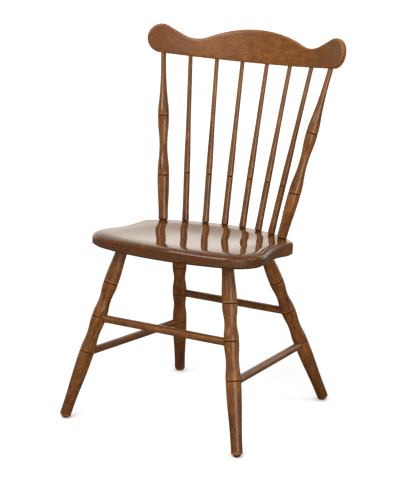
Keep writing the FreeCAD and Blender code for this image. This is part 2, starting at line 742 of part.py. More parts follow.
def spindle_profile(span):
    """Flared foot, one scored ring low down and a long taper."""
    base = "Sizes.spindle_base_diameter / 2"
    swell = "Sizes.spindle_swell_diameter / 2"
    waist = "Sizes.spindle_waist_diameter / 2"
    neck = "Sizes.spindle_neck_diameter / 2"
    deck = "Sizes.spindle_foot_tenon_length"
    crest = deck + " + Spans." + span
    ring = deck + " + Sizes.spindle_groove_rise"
    profile = Profile()
    tenon = "Sizes.spindle_foot_tenon_diameter / 2"
    foot_tenon(profile, tenon, deck, base, "Spans.spindle_foot_room")
    profile.ogee(swell, deck + " + Sizes.spindle_foot_flare")
    profile.line(swell, ring + " - Sizes.groove_width / 2")
    profile.groove(swell, ring)
    profile.ogee(waist, crest + " - Sizes.spindle_waist_drop")
    shoulder = crest + " - Spans.spindle_head_room"
    end = crest + " + Sizes.spindle_head_tenon_length"
    return head_tenon(profile, neck, "Sizes.spindle_head_tenon_diameter / 2", shoulder, end)


def pin_axis(side):
    """Axis of a peg, from the crest's back inwards through the post's tenon."""
    angle = side * 3.5 * size("crest_angle")
    half = size("crest_thickness") / 2
    return Axis(
        crest_point(angle, size("pin_rise"), half), crest_point(angle, size("pin_rise"), -half)
    )


def make_back_pieces():
    """Two posts, six spindles and two pegs."""
    for name, side in SIDES:
        axis = POSTS[name]
        turning = turned_body("post_turning_" + name, post_profile())
        turning.Placement = axis.placement(-size("post_foot_tenon_length"))
        peg_hole = pin_hole("post_peg_hole_" + name, side)
        cut_piece("post_" + name, turning, [peg_hole])
        peg = doc.addObject("Part::Cylinder", "peg_" + name)
        peg.setExpression("Radius", "Sizes.pin_diameter / 2")
        peg.setExpression("Height", "Sizes.pin_length")
        peg.Placement = pin_axis(side).placement()
        name_piece(peg, "crest_pin_" + name)
    names = ("outer_spindle_span", "middle_spindle_span", "inner_spindle_span")
    for number, (span, axis) in enumerate(zip(names + names[::-1], SPINDLES), start=1):
        body = turned_body("spindle_turning_%d" % number, spindle_profile(span))
        body.Placement = axis.placement(-size("spindle_foot_tenon_length"))
        name_piece(body, "spindle_%d" % number)


def pin_hole(name, side):
    """Hole for a peg, open at the crest's back."""
    length = size("pin_length") + 2 * size("end_gap")
    return rod(name, pin_axis(side), -size("end_gap"), length, socket_radius("pin_diameter"))


def crest_outline_points():
    """Centres and joints of the crest's half outline before bending, from the crown round."""
    ear_radius = size("crest_ear_radius")
    dip_radius = size("crest_dip_radius")
    dip = VECTOR(size("crest_dip_at"), size("crest_dip_height") + dip_radius, 0)
    ear = VECTOR(size("crest_ear_at"), ear_radius, 0)
    drop = dip.y - size("crest_height")
    crown_radius = (dip.x ** 2 + drop ** 2 - dip_radius ** 2) / (2 * (dip_radius - drop))
    crown = VECTOR(0, size("crest_height") - crown_radius, 0)
    to_ear = Axis(dip, ear)
    turn = math.degrees(math.acos((dip_radius + ear_radius) / to_ear.length))
    slant = FreeCAD.Rotation(UP, -turn).multVec(to_ear.direction)
    joints = (
        VECTOR(0, size("crest_height"), 0),
        crown + (dip - crown).normalize() * crown_radius,
        dip + slant * dip_radius,
        ear - slant * ear_radius,
        VECTOR(ear.x, 0, 0),
        ORIGIN,
    )
    return (crown, dip, ear), joints


def ear_arc(centre, start, end):
    """The long way round an ear, by its outer side."""
    return Part.Arc(start, centre + VECTOR(start.distanceToPoint(centre), 0, 0), end)


def draw_crest_outline(sketch):
    """Half of the crest laid out flat: crown, dip, slope, ear, lower edge and middle line."""
    (crown, dip, ear), joints = crest_outline_points()
    curves = (
        arc_through(crown, joints[0], joints[1]),
        arc_through(dip, joints[1], joints[2]),
        Part.LineSegment(joints[2], joints[3]),
        ear_arc(ear, joints[3], joints[4]),
        Part.LineSegment(joints[4], joints[5]),
        Part.LineSegment(joints[5], joints[0]),
    )
    ends = []
    for index, curve in enumerate(curves):
        geometry = sketch.addGeometry(curve, False)
        first = end_near(sketch, geometry, joints[index])
        ends.append((geometry, first, 3 - first))
    for index, (geometry, _, last) in enumerate(ends):
        kind = "Tangent" if index < 4 else "Coincident"
        following, first, _ = ends[(index + 1) % len(ends)]
        sketch.addConstraint(Sketcher.Constraint(kind, geometry, last, following, first))
    crown_arc, dip_arc, _, ear_curve, lower, middle = [item[0] for item in ends]
    sketch.addConstraint(Sketcher.Constraint("Coincident", middle, ends[5][1], -1, 1))
    sketch.addConstraint(Sketcher.Constraint("Horizontal", lower))
    sketch.addConstraint(Sketcher.Constraint("Vertical", middle))
    add_distance(sketch, "DistanceX", crown_arc, 3, "0")
    add_distance(sketch, "DistanceY", middle, ends[5][2], "Sizes.crest_height")
    add_distance(sketch, "DistanceX", dip_arc, 3, "Sizes.crest_dip_at")
    add_distance(sketch, "DistanceY", dip_arc, 3, "Sizes.crest_dip_height + Sizes.crest_dip_radius")
    add_distance(sketch, "DistanceX", ear_curve, 3, "Sizes.crest_ear_at")
    add_radius(sketch, dip_arc, "Sizes.crest_dip_radius")
    add_radius(sketch, ear_curve, "Sizes.crest_ear_radius")


def flat_crest():
    """The crest before bending, as sawn from a flat board."""
    body = new_body("crest_blank")
    sketch = new_sketch(body, "crest_half_outline", "XZ_Plane")
    draw_crest_outline(sketch)
    pad = body.newObject("PartDesign::Pad", "crest_half")
    pad.Profile = sketch
    pad.Midplane = True
    pad.setExpression("Length", "Sizes.crest_thickness")
    whole = body.newObject("PartDesign::Mirrored", "crest_whole")
    whole.Originals = [pad]
    whole.MirrorPlane = (sketch, ["V_Axis"])
    body.Tip = whole
    doc.recompute()
    return sketch


def bent_edge(edge, side, radius):
    """An edge of the flat outline, wrapped round the bend at a radius."""
    count = 3 + int(edge.Length / size("crest_edge_round"))
    bend = size("crest_radius")
    points = []
    for point in edge.discretize(count):
        angle = side * point.x / bend
        points.append(VECTOR(radius * math.sin(angle), radius * math.cos(angle) - bend, point.y))
    curve = Part.BSplineCurve()
    curve.interpolate(points)
    return curve.toShape()


def bent_outline(sketch):
    """The sawn outline as walls that run square through the bent board."""
    thickness = size("crest_thickness")
    flat = [curve.toShape() for curve in sketch.Geometry[:-1]]
    walls = []
    for side in (1, -1):
        for edge in flat:
            inner = bent_edge(edge, side, size("crest_radius") - thickness)
            outer = bent_edge(edge, side, size("crest_radius") + thickness)
            walls.append(Part.makeRuledSurface(inner, outer))
    return Part.makeShell(walls)


def bent_board():
    """A sector of tube, as thick as the crest and larger than it every other way."""
    bend = size("crest_radius")
    half = size("crest_thickness") / 2
    margin = size("crest_ear_radius")
    reach = math.degrees((size("crest_ear_at") + 2 * margin) / bend)
    tall = size("crest_height") + 2 * margin
    foot = VECTOR(0, -bend, -margin)
    tube = Part.makeCylinder(bend + half, tall, foot, UP, 2 * reach)
    tube = tube.cut(Part.makeCylinder(bend - half, tall, foot, UP))
    tube.rotate(VECTOR(0, -bend, 0), UP, 90 - reach)
    return tube


def make_crest():
    """Bent crest rail with its sockets and peg holes."""
    walls = bent_outline(flat_crest())
    pieces, _ = bent_board().generalFuse([walls], 0.0001)
    inside = VECTOR(0, 0, size("crest_dip_height") / 2)
    kept = next(solid for solid in pieces.Solids if solid.isInside(inside, 0.001, True))
    sawn = doc.addObject("Part::Feature", "crest_bent")
    sawn.Shape = kept.toNurbs().Solids[0]
    sawn.Placement = CREST_PLACE
    eased = doc.addObject("Part::Fillet", "crest_eased")
    eased.Base = sawn
    ease = size("crest_edge_round")
    eased.Edges = [(number, ease, ease) for number in long_edges(sawn.Shape)]
    tools = []
    for name, side in SIDES:
        tools.append(head_socket("post_head_socket_" + name, POSTS[name], "post_head_tenon"))
        tools.append(pin_hole("crest_peg_hole_" + name, side))
    for number, axis in enumerate(SPINDLES, start=1):
        tools.append(head_socket("spindle_head_socket_%d" % number, axis, "spindle_head_tenon"))
    cut_piece("crest_rail", eased, tools)


def long_edges(shape):
    """Numbers of the edges that run around the front and back of the crest."""
    numbers = []
    for number, edge in enumerate(shape.Edges, start=1):
        if edge.Length > size("crest_thickness") + 1:
            numbers.append(number)
    return numbers


def head_socket(name, axis, tenon):
    """Socket in the crest's lower edge for the head of a post or spindle."""
    depth = size(tenon + "_length") + size("end_gap")
    return rod(name, axis, axis.length - depth, 2 * depth, socket_radius(tenon + "_diameter"))


def check_and_export():
    """Stop on any failed object, then write each piece to its own file."""
    doc.recompute()
    for item in doc.Objects:
        if "Invalid" in item.State or "Error" in item.State:
            raise RuntimeError("%s failed: %s" % (item.Name, item.State))
    os.makedirs("parts", exist_ok=True)
    for piece in PIECES:
        shape = piece.Shape
        if shape.isNull() or not shape.isValid() or len(shape.Solids) != 1:
            raise RuntimeError("%s has no sound solid" % piece.Label)
        shape.exportStep("parts/%s.step" % piece.Label)


make_seat()
make_legs()
make_stretchers()
make_back_pieces()
make_crest()
check_and_export()
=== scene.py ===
import math

import bpy
from mathutils import Matrix, Vector


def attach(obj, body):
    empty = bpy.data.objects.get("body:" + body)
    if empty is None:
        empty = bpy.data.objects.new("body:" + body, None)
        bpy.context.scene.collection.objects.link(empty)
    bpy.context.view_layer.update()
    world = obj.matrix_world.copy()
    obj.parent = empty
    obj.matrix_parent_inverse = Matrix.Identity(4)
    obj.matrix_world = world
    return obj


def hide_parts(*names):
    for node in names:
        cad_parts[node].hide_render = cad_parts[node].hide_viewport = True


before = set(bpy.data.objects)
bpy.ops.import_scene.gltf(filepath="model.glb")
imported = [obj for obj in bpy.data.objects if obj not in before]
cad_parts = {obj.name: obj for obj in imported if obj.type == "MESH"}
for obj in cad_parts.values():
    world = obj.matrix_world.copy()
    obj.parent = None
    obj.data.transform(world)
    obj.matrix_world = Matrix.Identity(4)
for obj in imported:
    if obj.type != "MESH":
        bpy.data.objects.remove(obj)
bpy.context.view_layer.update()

bl_info = {
    "name": "Windsor Chair",
    "version": (1, 0, 0),
    "blender": (4, 5, 0),
    "location": "View3D > Sidebar > Chair",
    "description": "Turned, saddled and bent pieces of a windsor side chair with their stained finish",
    "category": "Object",
}

MM = 0.001
SIDES = (("left", -1), ("right", 1))


# Where the pieces stand, in metres and degrees.
class Place:
    """Axes and planes that the pieces of the chair are set on."""

    seat = Matrix.Translation((0, 0, 0.4467)) @ Matrix.Rotation(math.radians(-3.4), 4, "X")
    plank = 0.035
    deck_radius = 0.261
    deck_centre = -0.1227
    spindle_turn = 11.2
    post_turn = 40.2
    crest = Matrix.Translation((0, 0.2234, 0.8364)) @ Matrix.Rotation(math.radians(-12.9), 4, "X")
    crest_bend = 0.5593
    crest_turn = 7.12
    foot_spots = {"front": (0.2431, -0.2415), "rear": (0.2152, 0.2423)}
    leg_tops = {"front": (0.1451, -0.1345), "rear": (0.1207, 0.0799)}
    dome_radius = 0.012125
    dome_wear = 0.0005
    glide_height = 0.0055
    top_ring_drops = {"front": 0.0923, "rear": 0.089}
    ring_steps = (0.0867, 0.0912)
    front_stretcher_drop = 0.0035
    rear_stretcher_drop = 0.0042
    side_stretcher_drops = {"front": 0.0033, "rear": 0.0113}
    stretcher_past_axis = 0.004

    @staticmethod
    def deck_spot(index):
        """Spot on the flat deck of a spindle (0.5, 1.5 or 2.5 from the middle) or of a post (3.5)."""
        angle = math.copysign(Place.post_turn, index) if abs(index) > 3 else Place.spindle_turn * index
        turn = math.radians(angle)
        y = Place.deck_centre + Place.deck_radius * math.cos(turn)
        return Vector((Place.deck_radius * math.sin(turn), y, 0))

    @staticmethod
    def crest_foot(angle):
        """Point on the lower edge of the crest, at mid thickness."""
        turn = math.radians(angle)
        bend = Place.crest_bend
        return Place.crest @ Vector((bend * math.sin(turn), bend * (math.cos(turn) - 1), 0))

    @staticmethod
    def back(index):
        """Ends of a spindle or post."""
        return Place.seat @ Place.deck_spot(index), Place.crest_foot(Place.crest_turn * index)

    @staticmethod
    def leg(end, side):
        """Ends of a leg: the middle of its foot's face and its place under the seat."""
        x, y = Place.foot_spots[end]
        floor = Vector((side * x, y, 0))
        x, y = Place.leg_tops[end]
        top = Place.seat @ Vector((side * x, y, -Place.plank))
        along = (top - floor).normalized()
        rise = Place.dome_radius - Place.dome_wear - (Place.dome_radius - Place.glide_height) * along.z
        return floor + along * (rise / along.z), top

    @staticmethod
    def leg_span(end):
        """Length of a leg from its foot to the seat."""
        foot, top = Place.leg(end, 1)
        return (top - foot).length

    @staticmethod
    def leg_rings(end):
        """Stations of a leg's top, middle and low ring, from its foot."""
        top = Place.leg_span(end) - Place.top_ring_drops[end]
        middle = top - Place.ring_steps[0]
        return top, middle, middle - Place.ring_steps[1]

    @staticmethod
    def along(ends, station):
        """Point on an axis at a distance from its start."""
        return ends[0] + (ends[1] - ends[0]).normalized() * station

    @staticmethod
    def stretcher(first, second, stations):
        """Ends of a stretcher between two legs, just past the legs' axes."""
        one = Place.along(Place.leg(*first), stations[0])
        two = Place.along(Place.leg(*second), stations[1])
        past = (two - one).normalized() * Place.stretcher_past_axis
        return one - past, two + past


def axis_matrix(ends):
    """Matrix that stands a piece turned along Z on an axis."""
    turn = Vector((0, 0, 1)).rotation_difference((ends[1] - ends[0]).normalized())
    return Matrix.Translation(ends[0]) @ turn.to_matrix().to_4x4()


# Sizes and colours that a user may change.
def length(name, description, default):
    """A size of the chair, in metres."""
    return bpy.props.FloatProperty(
        name=name, description=description, default=default, unit="LENGTH", subtype="DISTANCE"
    )


def tone(name, description, default):
    """A colour of the finish."""
    return bpy.props.FloatVectorProperty(
        name=name, description=description, default=default, size=3, min=0, max=1, subtype="COLOR"
    )


class ChairShape(bpy.types.PropertyGroup):
    """Sizes of the chair's pieces"""

    saddle: length("Saddle", "Depth of the saddle in the seat", 0.0114)
    leg_node: length("Leg swelling", "Diameter of the swellings of a leg", 0.036)
    leg_low_waist: length("Low leg waist", "Diameter of a leg between its low and middle swelling", 0.0304)
    leg_high_waist: length("High leg waist", "Diameter of a leg between its middle and top swelling", 0.0292)
    post_node: length("Post swelling", "Diameter of the lower swelling of a post", 0.0306)
    stretcher: length("Stretcher", "Diameter of the stretchers", 0.019)
    crest_edge: length("Crest edge", "Rounding of the crest's edges", 0.0045)
    groove: length("Scored ring", "Depth of the scored rings", 0.0011)


class ChairFinish(bpy.types.PropertyGroup):
    """Colours of the stain and varnish"""

    stain: tone("Stain", "Middle tone of the stained wood", (0.190, 0.062, 0.0085))
    # Deep stain is also the tone that the shade mark mixes towards: painted shade on the seat's edge and
    # rim, and the darker ears and feet.
    deep: tone("Deep stain", "Tone of the dark streaks of the grain", (0.066, 0.018, 0.0030))
    bright: tone("Bright stain", "Tone of the pale streaks of the grain", (0.300, 0.108, 0.0180))
    rubbed: tone("Rubbed edge", "Tone where the stain is thin on an edge", (0.480, 0.185, 0.0350))
    # Glaze: dark glaze and painted shade in the scored rings and joints.
    glaze_and_shade: tone("Glaze_and_shade", "Dark glaze left in the scored rings and joints", (0.014, 0.006, 0.0025))


def shape():
    """The sizes in use."""
    return bpy.context.scene.chair_shape


def finish_colours():
    """The colours in use."""
    return bpy.context.scene.chair_finish


# Shared steps of modelling.
def fresh_selection():
    """Leave edit mode and select nothing."""
    if bpy.context.mode != "OBJECT":
        bpy.ops.object.mode_set(mode="OBJECT")
    bpy.ops.object.select_all(action="DESELECT")


def select_only(piece):
    """Select one piece and make it active."""
    fresh_selection()
    piece.select_set(True)
    bpy.context.view_layer.objects.active = piece


def take_active(name):
    """Name the object that an operator has just added."""
    piece = bpy.context.active_object
    piece.name = name
    piece.data.name = name
    return piece


def copy_piece(piece, name):
    """Copy a finished piece, with a mesh of its own."""
    twin = piece.copy()
    twin.data = piece.data.copy()
    twin.name = name
    twin.data.name = name
    bpy.context.collection.objects.link(twin)
    return twin


def settle(piece, matrix):
    """Put a piece in its place and leave its object at the origin."""
    select_only(piece)
    piece.matrix_world = matrix
    bpy.ops.object.transform_apply(location=True, rotation=True, scale=True)
    bpy.ops.object.select_all(action="DESELECT")


def clean_mesh(piece):
    """Merge doubled points and turn every face outwards."""
    select_only(piece)
    bpy.ops.object.mode_set(mode="EDIT")
    bpy.ops.mesh.select_all(action="SELECT")
    bpy.ops.mesh.remove_doubles(threshold=0.005 * MM)
    bpy.ops.mesh.normals_make_consistent(inside=False)
    bpy.ops.object.mode_set(mode="OBJECT")
    piece.select_set(False)


def smooth(piece, degrees):
    """Shade a piece smooth, with its sharp edges kept."""
    select_only(piece)
    bpy.ops.object.shade_smooth_by_angle(angle=math.radians(degrees))
    piece.select_set(False)


def paint_points(piece, name, kind, values):
    """Store one value for each point of a mesh."""
    layer = piece.data.attributes.new(name, kind, "POINT")
    slot = "vector" if kind == "FLOAT_VECTOR" else "value"
    flat = [part for value in values for part in value] if slot == "vector" else list(values)
    layer.data.foreach_set(slot, flat)


def placed_grid(name, columns, rows, place):
    """A grid of points, each put where place(column, row) says, in metres."""
    fresh_selection()
    bpy.ops.mesh.primitive_grid_add(x_subdivisions=columns - 1, y_subdivisions=rows - 1, size=1)
    piece = take_active(name)
    row_of = []
    for point in piece.data.vertices:
        column = round((point.co.x + 0.5) * (columns - 1))
        row = round((point.co.y + 0.5) * (rows - 1))
        row_of.append(float(row))
        point.co = place(column, row)
    piece.data.update()
    paint_points(piece, "row", "FLOAT", row_of)
    return piece


def rows_of(piece):
    """Row of the grid that each point came from; the mark is then taken off."""
    layer = piece.data.attributes["row"]
    rows = [round(item.value) for item in layer.data]
    piece.data.attributes.remove(layer)
    return rows


def paint_marks(piece, grain, wear, glaze_and_shade, shade):
    """Store the grain's coordinates and, for each point, how worn it is, its glaze and painted shade, and
    how much darker it is made, in part as painted shade.
    """
    paint_points(piece, "grain", "FLOAT_VECTOR", grain)
    paint_points(piece, "wear", "FLOAT", wear)
    paint_points(piece, "glaze_and_shade", "FLOAT", glaze_and_shade)
    paint_points(piece, "shade", "FLOAT", shade)


# Turned pieces. Half of a scored ring, from its lip to beside its middle, in millimetres and shares:
# distance from the middle, depth, glaze with painted shade, and wear.
RING_HALF = ((2.8, 0.0, 0.0, 0.5), (1.6, 0.04, 0.2, 0.4), (1.05, 0.25, 0.85, 0.0), (0.5, 0.8, 1.0, 0.0))
RING_MIDDLE = (0.0, 1.0, 1.0, 0.0)
RING_REACH = RING_HALF[0][0]
# How far a tenon runs on into its socket, and the sides of the turned pieces.
SEAT_TENON, CREST_TENON_POST, CREST_TENON_SPINDLE = 12.0, 12.0, 10.0
LEG_SIDES, POST_SIDES, SLIM_SIDES = 48, 44, 36
# A leg is made darker below this height, over this run, in metres from the foot.
FOOT_SHADE_TOP, FOOT_SHADE_RUN = 0.19, 0.12


class Turning:
    """Half section of a turned piece, in millimetres: radius, station, glaze with painted shade, and wear.
    """

    def __init__(self, radius, station):
        self.points = [(0.0, station, 0.0, 0.0)]
        self.line(radius, station)

    def line(self, radius, station, glaze_and_shade=0.0, wear=0.0, steps=1):
        """Run straight to a point."""
        last, target = self.points[-1], (radius, station, glaze_and_shade, wear)
        for step in range(1, steps + 1):
            share = step / steps
            self.points.append(tuple(start + share * (end - start) for start, end in zip(last, target)))
        return self

    def ogee(self, radius, station, share=0.5, steps=10, wear=0.0):
        """Run to a point on two arcs that start and end parallel to the axis."""
        start_radius, start_station = self.points[-1][:2]
        run = station - start_station
        rise = radius - start_radius
        if abs(rise) < 0.001:
            return self.line(radius, station, wear=wear, steps=steps)
        for step in range(1, steps + 1):
            at = run * step / steps
            if at <= share * run:
                arc_run, arc_rise, sign, base, from_end = share * run, share * rise, 1, start_radius, at
            else:
                arc_run, arc_rise = (1 - share) * run, (1 - share) * rise
                sign, base, from_end = -1, radius, run - at
            bow = (arc_run ** 2 + arc_rise ** 2) / (2 * abs(arc_rise))
            lift = bow - math.sqrt(bow ** 2 - from_end ** 2)
            value = base + sign * math.copysign(lift, rise)
            self.points.append((value, start_station + at, 0.0, wear * step / steps))
        return self

    def ring(self, radius, station):
        """Score a ring with softened lips, centred on a station."""
        deep = shape().groove / MM
        falling = tuple((-offset, depth, glaze_and_shade, wear) for offset, depth, glaze_and_shade, wear in RING_HALF)
        for offset, depth, glaze_and_shade, wear in falling + (RING_MIDDLE,) + RING_HALF[::-1]:
            self.points.append((radius - depth * deep, station + offset, glaze_and_shade, wear))
        return self

    def close(self):
        """Run back to the axis."""
        self.points.append((0.0, self.points[-1][1], self.points[-1][2], 0.0))
        return self


def turn_piece(name, section, seed, sides, shaded_foot=0.0):
    """Draw the section point by point and spin it round, as on a lathe."""
    fresh_selection()
    bpy.ops.mesh.primitive_plane_add(size=0.01)
    piece = take_active(name)
    bpy.ops.object.mode_set(mode="EDIT")
    bpy.ops.mesh.select_all(action="SELECT")
    bpy.ops.mesh.merge(type="CENTER")
    bpy.ops.transform.translate(value=(0, 0, section.points[0][1] * MM))
    for before, after in zip(section.points, section.points[1:]):
        step = ((after[0] - before[0]) * MM, 0, (after[1] - before[1]) * MM)
        bpy.ops.mesh.extrude_vertices_move(TRANSFORM_OT_translate={"value": step})
    bpy.ops.mesh.select_all(action="SELECT")
    bpy.ops.mesh.spin(steps=sides, angle=math.tau, center=(0, 0, 0), axis=(0, 0, 1))
    bpy.ops.object.mode_set(mode="OBJECT")
    clean_mesh(piece)
    mark_turning(piece, section, seed, shaded_foot)
    smooth(piece, 50)
    return piece


def mark_turning(piece, section, seed, shaded_foot):
    """Store the grain's own coordinates, the glaze with its painted shade, the wear and the darkening
    towards the foot of a turned piece.
    """
    stations = [point[1] * MM for point in section.points]
    grain, glaze_and_shade, wear, shade = [], [], [], []
    for vertex in piece.data.vertices:
        spot = vertex.co
        grain.append(spot + seed * Vector((0.9, 0.37, 0.61)))
        radius = math.hypot(spot.x, spot.y)
        near = min(
            range(len(stations)),
            key=lambda index: abs(stations[index] - spot.z) + abs(section.points[index][0] * MM - radius),
        )
        glaze_and_shade.append(section.points[near][2])
        wear.append(section.points[near][3])
        shade.append(shaded_foot * ease((FOOT_SHADE_TOP - spot.z) / FOOT_SHADE_RUN))
    paint_marks(piece, grain, wear, glaze_and_shade, shade)


def leg_section(end):
    """Worn foot, three scored swellings with waists between, and a straight tenon."""
    span = Place.leg_span(end) / MM
    top, middle, low = (station / MM for station in Place.leg_rings(end))
    node = shape().leg_node / MM / 2
    low_waist = shape().leg_low_waist / MM / 2
    high_waist = shape().leg_high_waist / MM / 2
    foot, neck = 13.5, 14.5
    section = Turning(foot - 3.3, 0.0)
    section.line(foot - 1.6, 0.6, wear=0.9).line(foot - 0.6, 1.8, wear=1.0).line(foot - 0.1, 3.4, wear=0.7)
    section.line(foot, 7.0, wear=0.1)
    section.ogee(node, low - RING_REACH, steps=22, wear=0.1).ring(node, low)
    section.ogee(low_waist, (low + middle) / 2, 0.55, steps=9).ogee(node, middle - RING_REACH, 0.45, steps=9)
    section.ring(node, middle)
    section.ogee(high_waist, (middle + top) / 2, 0.55, steps=9).ogee(node, top - RING_REACH, 0.45, steps=9)
    section.ring(node, top)
    section.ogee(neck, span - 1.0, steps=16)
    # Glaze and painted shade where the leg enters the seat.
    section.line(neck, span + 1.0, glaze_and_shade=0.9).line(neck, span + SEAT_TENON, glaze_and_shade=1.0)
    return section.close()


def stretcher_section(length):
    """Plain dowel, a little glaze and painted shade where it enters the legs."""
    radius = shape().stretcher / MM / 2
    hidden, clear = 17.5, 21.0
    section = Turning(radius - 1.0, 0.0)
    section.line(radius, 1.0, glaze_and_shade=0.6).line(radius, hidden, glaze_and_shade=0.6).line(radius, clear)
    section.line(radius + 0.15, length / 2, steps=8).line(radius, length - clear, steps=8)
    section.line(radius, length - hidden, glaze_and_shade=0.6).line(radius, length - 1.0, glaze_and_shade=0.6)
    section.line(radius - 1.0, length, glaze_and_shade=0.6)
    return section.close()


def post_section(span):
    """Base, two scored swellings with a waist between, and a slim neck."""
    lower = shape().post_node / MM / 2
    upper = lower - 0.8
    low, high = 112.9, span - 159.5
    tenon, base, waist, neck, top = 9.5, 12.0, 10.5, 6.7, 5.5
    section = Turning(tenon, -SEAT_TENON)
    # Glaze and painted shade at the base, where the post enters the seat.
    section.line(tenon, 3.1, glaze_and_shade=1.0).line(base - 1.0, 3.2, glaze_and_shade=1.0)
    section.line(base - 0.2, 3.6, glaze_and_shade=0.4, wear=0.3).line(base, 4.6)
    section.ogee(lower, low - RING_REACH, steps=16).ring(lower, low)
    section.ogee(waist, (low + high) / 2, steps=10).ogee(upper, high - RING_REACH, steps=10)
    section.ring(upper, high)
    section.ogee(neck, span - 26.0, 0.2, steps=18).line(neck, span - 1.6, steps=3)
    # Glaze and painted shade where the post enters the crest.
    section.line(neck - 0.1, span - 0.2, glaze_and_shade=0.8).line(top, span - 0.1, glaze_and_shade=1.0)
    section.line(top, span + CREST_TENON_POST, glaze_and_shade=1.0)
    return section.close()


def spindle_section(span):
    """Flared foot, one scored ring low down and a long taper."""
    scored, tenon, foot, body, slim, tip, top = 122.0, 6.35, 8.8, 8.1, 6.1, 5.4, 4.5
    section = Turning(tenon, -SEAT_TENON)
    # Glaze and painted shade at the foot, where the spindle enters the seat.
    section.line(tenon, 2.1, glaze_and_shade=1.0).line(foot - 0.9, 2.2, glaze_and_shade=1.0)
    section.line(foot - 0.2, 2.6, glaze_and_shade=0.4, wear=0.3).line(foot, 3.6)
    section.ogee(body, 40.0, steps=6).line(body, scored - RING_REACH, steps=8).ring(body, scored)
    section.ogee(slim, span - 125.0, steps=14).line(tip, span - 1.4, steps=10)
    # Glaze and painted shade where the spindle enters the crest.
    section.line(tip - 0.1, span - 0.2, glaze_and_shade=0.8).line(top, span - 0.1, glaze_and_shade=1.0)
    section.line(top, span + CREST_TENON_SPINDLE, glaze_and_shade=1.0)
    return section.close()


# Seat.
def arc_points(centre, start, end, count):
    """Points on the shorter arc about a centre, its last point left out, with outward normals."""
    first = math.atan2(start.y - centre.y, start.x - centre.x)
    last = math.atan2(end.y - centre.y, end.x - centre.x)
    turn = (last - first + math.pi) % math.tau - math.pi
    radius = (start - centre).length
    points = []
    for step in range(count):
        angle = first + turn * step / count
        normal = Vector((math.cos(angle), math.sin(angle)))
        points.append((centre + normal * radius, normal))
    return points


def seat_outline():
    """The whole outline of the seat with outward normals, in millimetres, from the rear round by +X."""
    rear_y, rear_half, front_y, front_half, lobe_y = 157.3, 211.5, -228.0, 228.5, -120.0
    rear_radius, corner_radius, waist_radius, lobe_radius = 280.0, 22.0, 243.0, 82.0
    rear = Vector((0, rear_y - rear_radius))
    corner_x = rear_half - corner_radius
    corner = Vector((corner_x, rear.y + math.sqrt((rear_radius - corner_radius) ** 2 - corner_x ** 2)))
    lobe = Vector((front_half - lobe_radius, lobe_y))
    gap = lobe - corner
    near = corner_radius + waist_radius
    far = lobe_radius + waist_radius
    reach = (gap.length ** 2 + near ** 2 - far ** 2) / (2 * gap.length)
    side = Vector((-gap.y, gap.x)).normalized()
    if side.x < 0:
        side = -side
    waist = corner + gap.normalized() * reach + side * math.sqrt(near ** 2 - reach ** 2)
    bulge = lobe_y - front_y
    front_radius = (lobe.x ** 2 + bulge ** 2 - lobe_radius ** 2) / (2 * (bulge - lobe_radius))
    front = Vector((0, front_y + front_radius))
    joints = (
        Vector((0, rear_y)),
        rear + (corner - rear).normalized() * rear_radius,
        corner + (waist - corner).normalized() * corner_radius,
        lobe + (waist - lobe).normalized() * lobe_radius,
        front + (lobe - front).normalized() * front_radius,
        Vector((0, front_y)),
    )
    half = []
    arcs = ((rear, 26), (corner, 10), (waist, 20), (lobe, 20), (front, 20))
    for index, (centre, count) in enumerate(arcs):
        points = arc_points(centre, joints[index], joints[index + 1], count)
        if centre is waist:
            points = [(point, -normal) for point, normal in points]
        half += points
    half.append((joints[-1], Vector((0, -1))))
    mirrored = [
        (Vector((-point.x, point.y)), Vector((-normal.x, normal.y))) for point, normal in half[-2:0:-1]
    ]
    return half + mirrored


def ease(value):
    """Smooth step from 0 to 1."""
    value = max(0.0, min(1.0, value))
    return value * value * (3 - 2 * value)


# The saddle: the circle of its rear wall about the deck's centre, the width of that wall, its half width
# at the sides, and where it runs out at the front and reaches its depth, in millimetres.
SADDLE_RADIUS, SADDLE_WALL, SADDLE_HALF = 233.0, 41.0, 168.0
SADDLE_FRONT, SADDLE_DEEPEST = -190.0, 35.0


def saddle_drop(x, y):
    """Depth of the saddle below the flat deck, in millimetres."""
    from_rim = max(0.0, SADDLE_RADIUS - math.hypot(x, y - Place.deck_centre / MM))
    rear_wall = 1.0 - math.exp(-((from_rim / SADDLE_WALL) ** 1.3))
    across = max(0.0, 1.0 - (abs(x) / SADDLE_HALF) ** 3) ** 1.6
    rise = max(0.0, min(1.0, (y - SADDLE_FRONT) / (SADDLE_DEEPEST - SADDLE_FRONT)))
    along = 1.0 - (1.0 - rise) ** 1.35
    return shape().saddle / MM * rear_wall * across * along


def roll_drop(x, y, inset):
    """How far the top falls away towards the outline, in millimetres: most at the front lobes."""
    front = ease((40.0 - y) / 150.0)
    lobe = front * ease((abs(x) - 40.0) / 110.0)
    width = 10.0 + 12.0 * front + 12.0 * lobe
    depth = 2.5 + 3.4 * front + 3.6 * lobe
    return depth * max(0.0, 1.0 - inset / width) ** 3.4 + 1.2 * front * ease(1.0 - inset / 60.0)


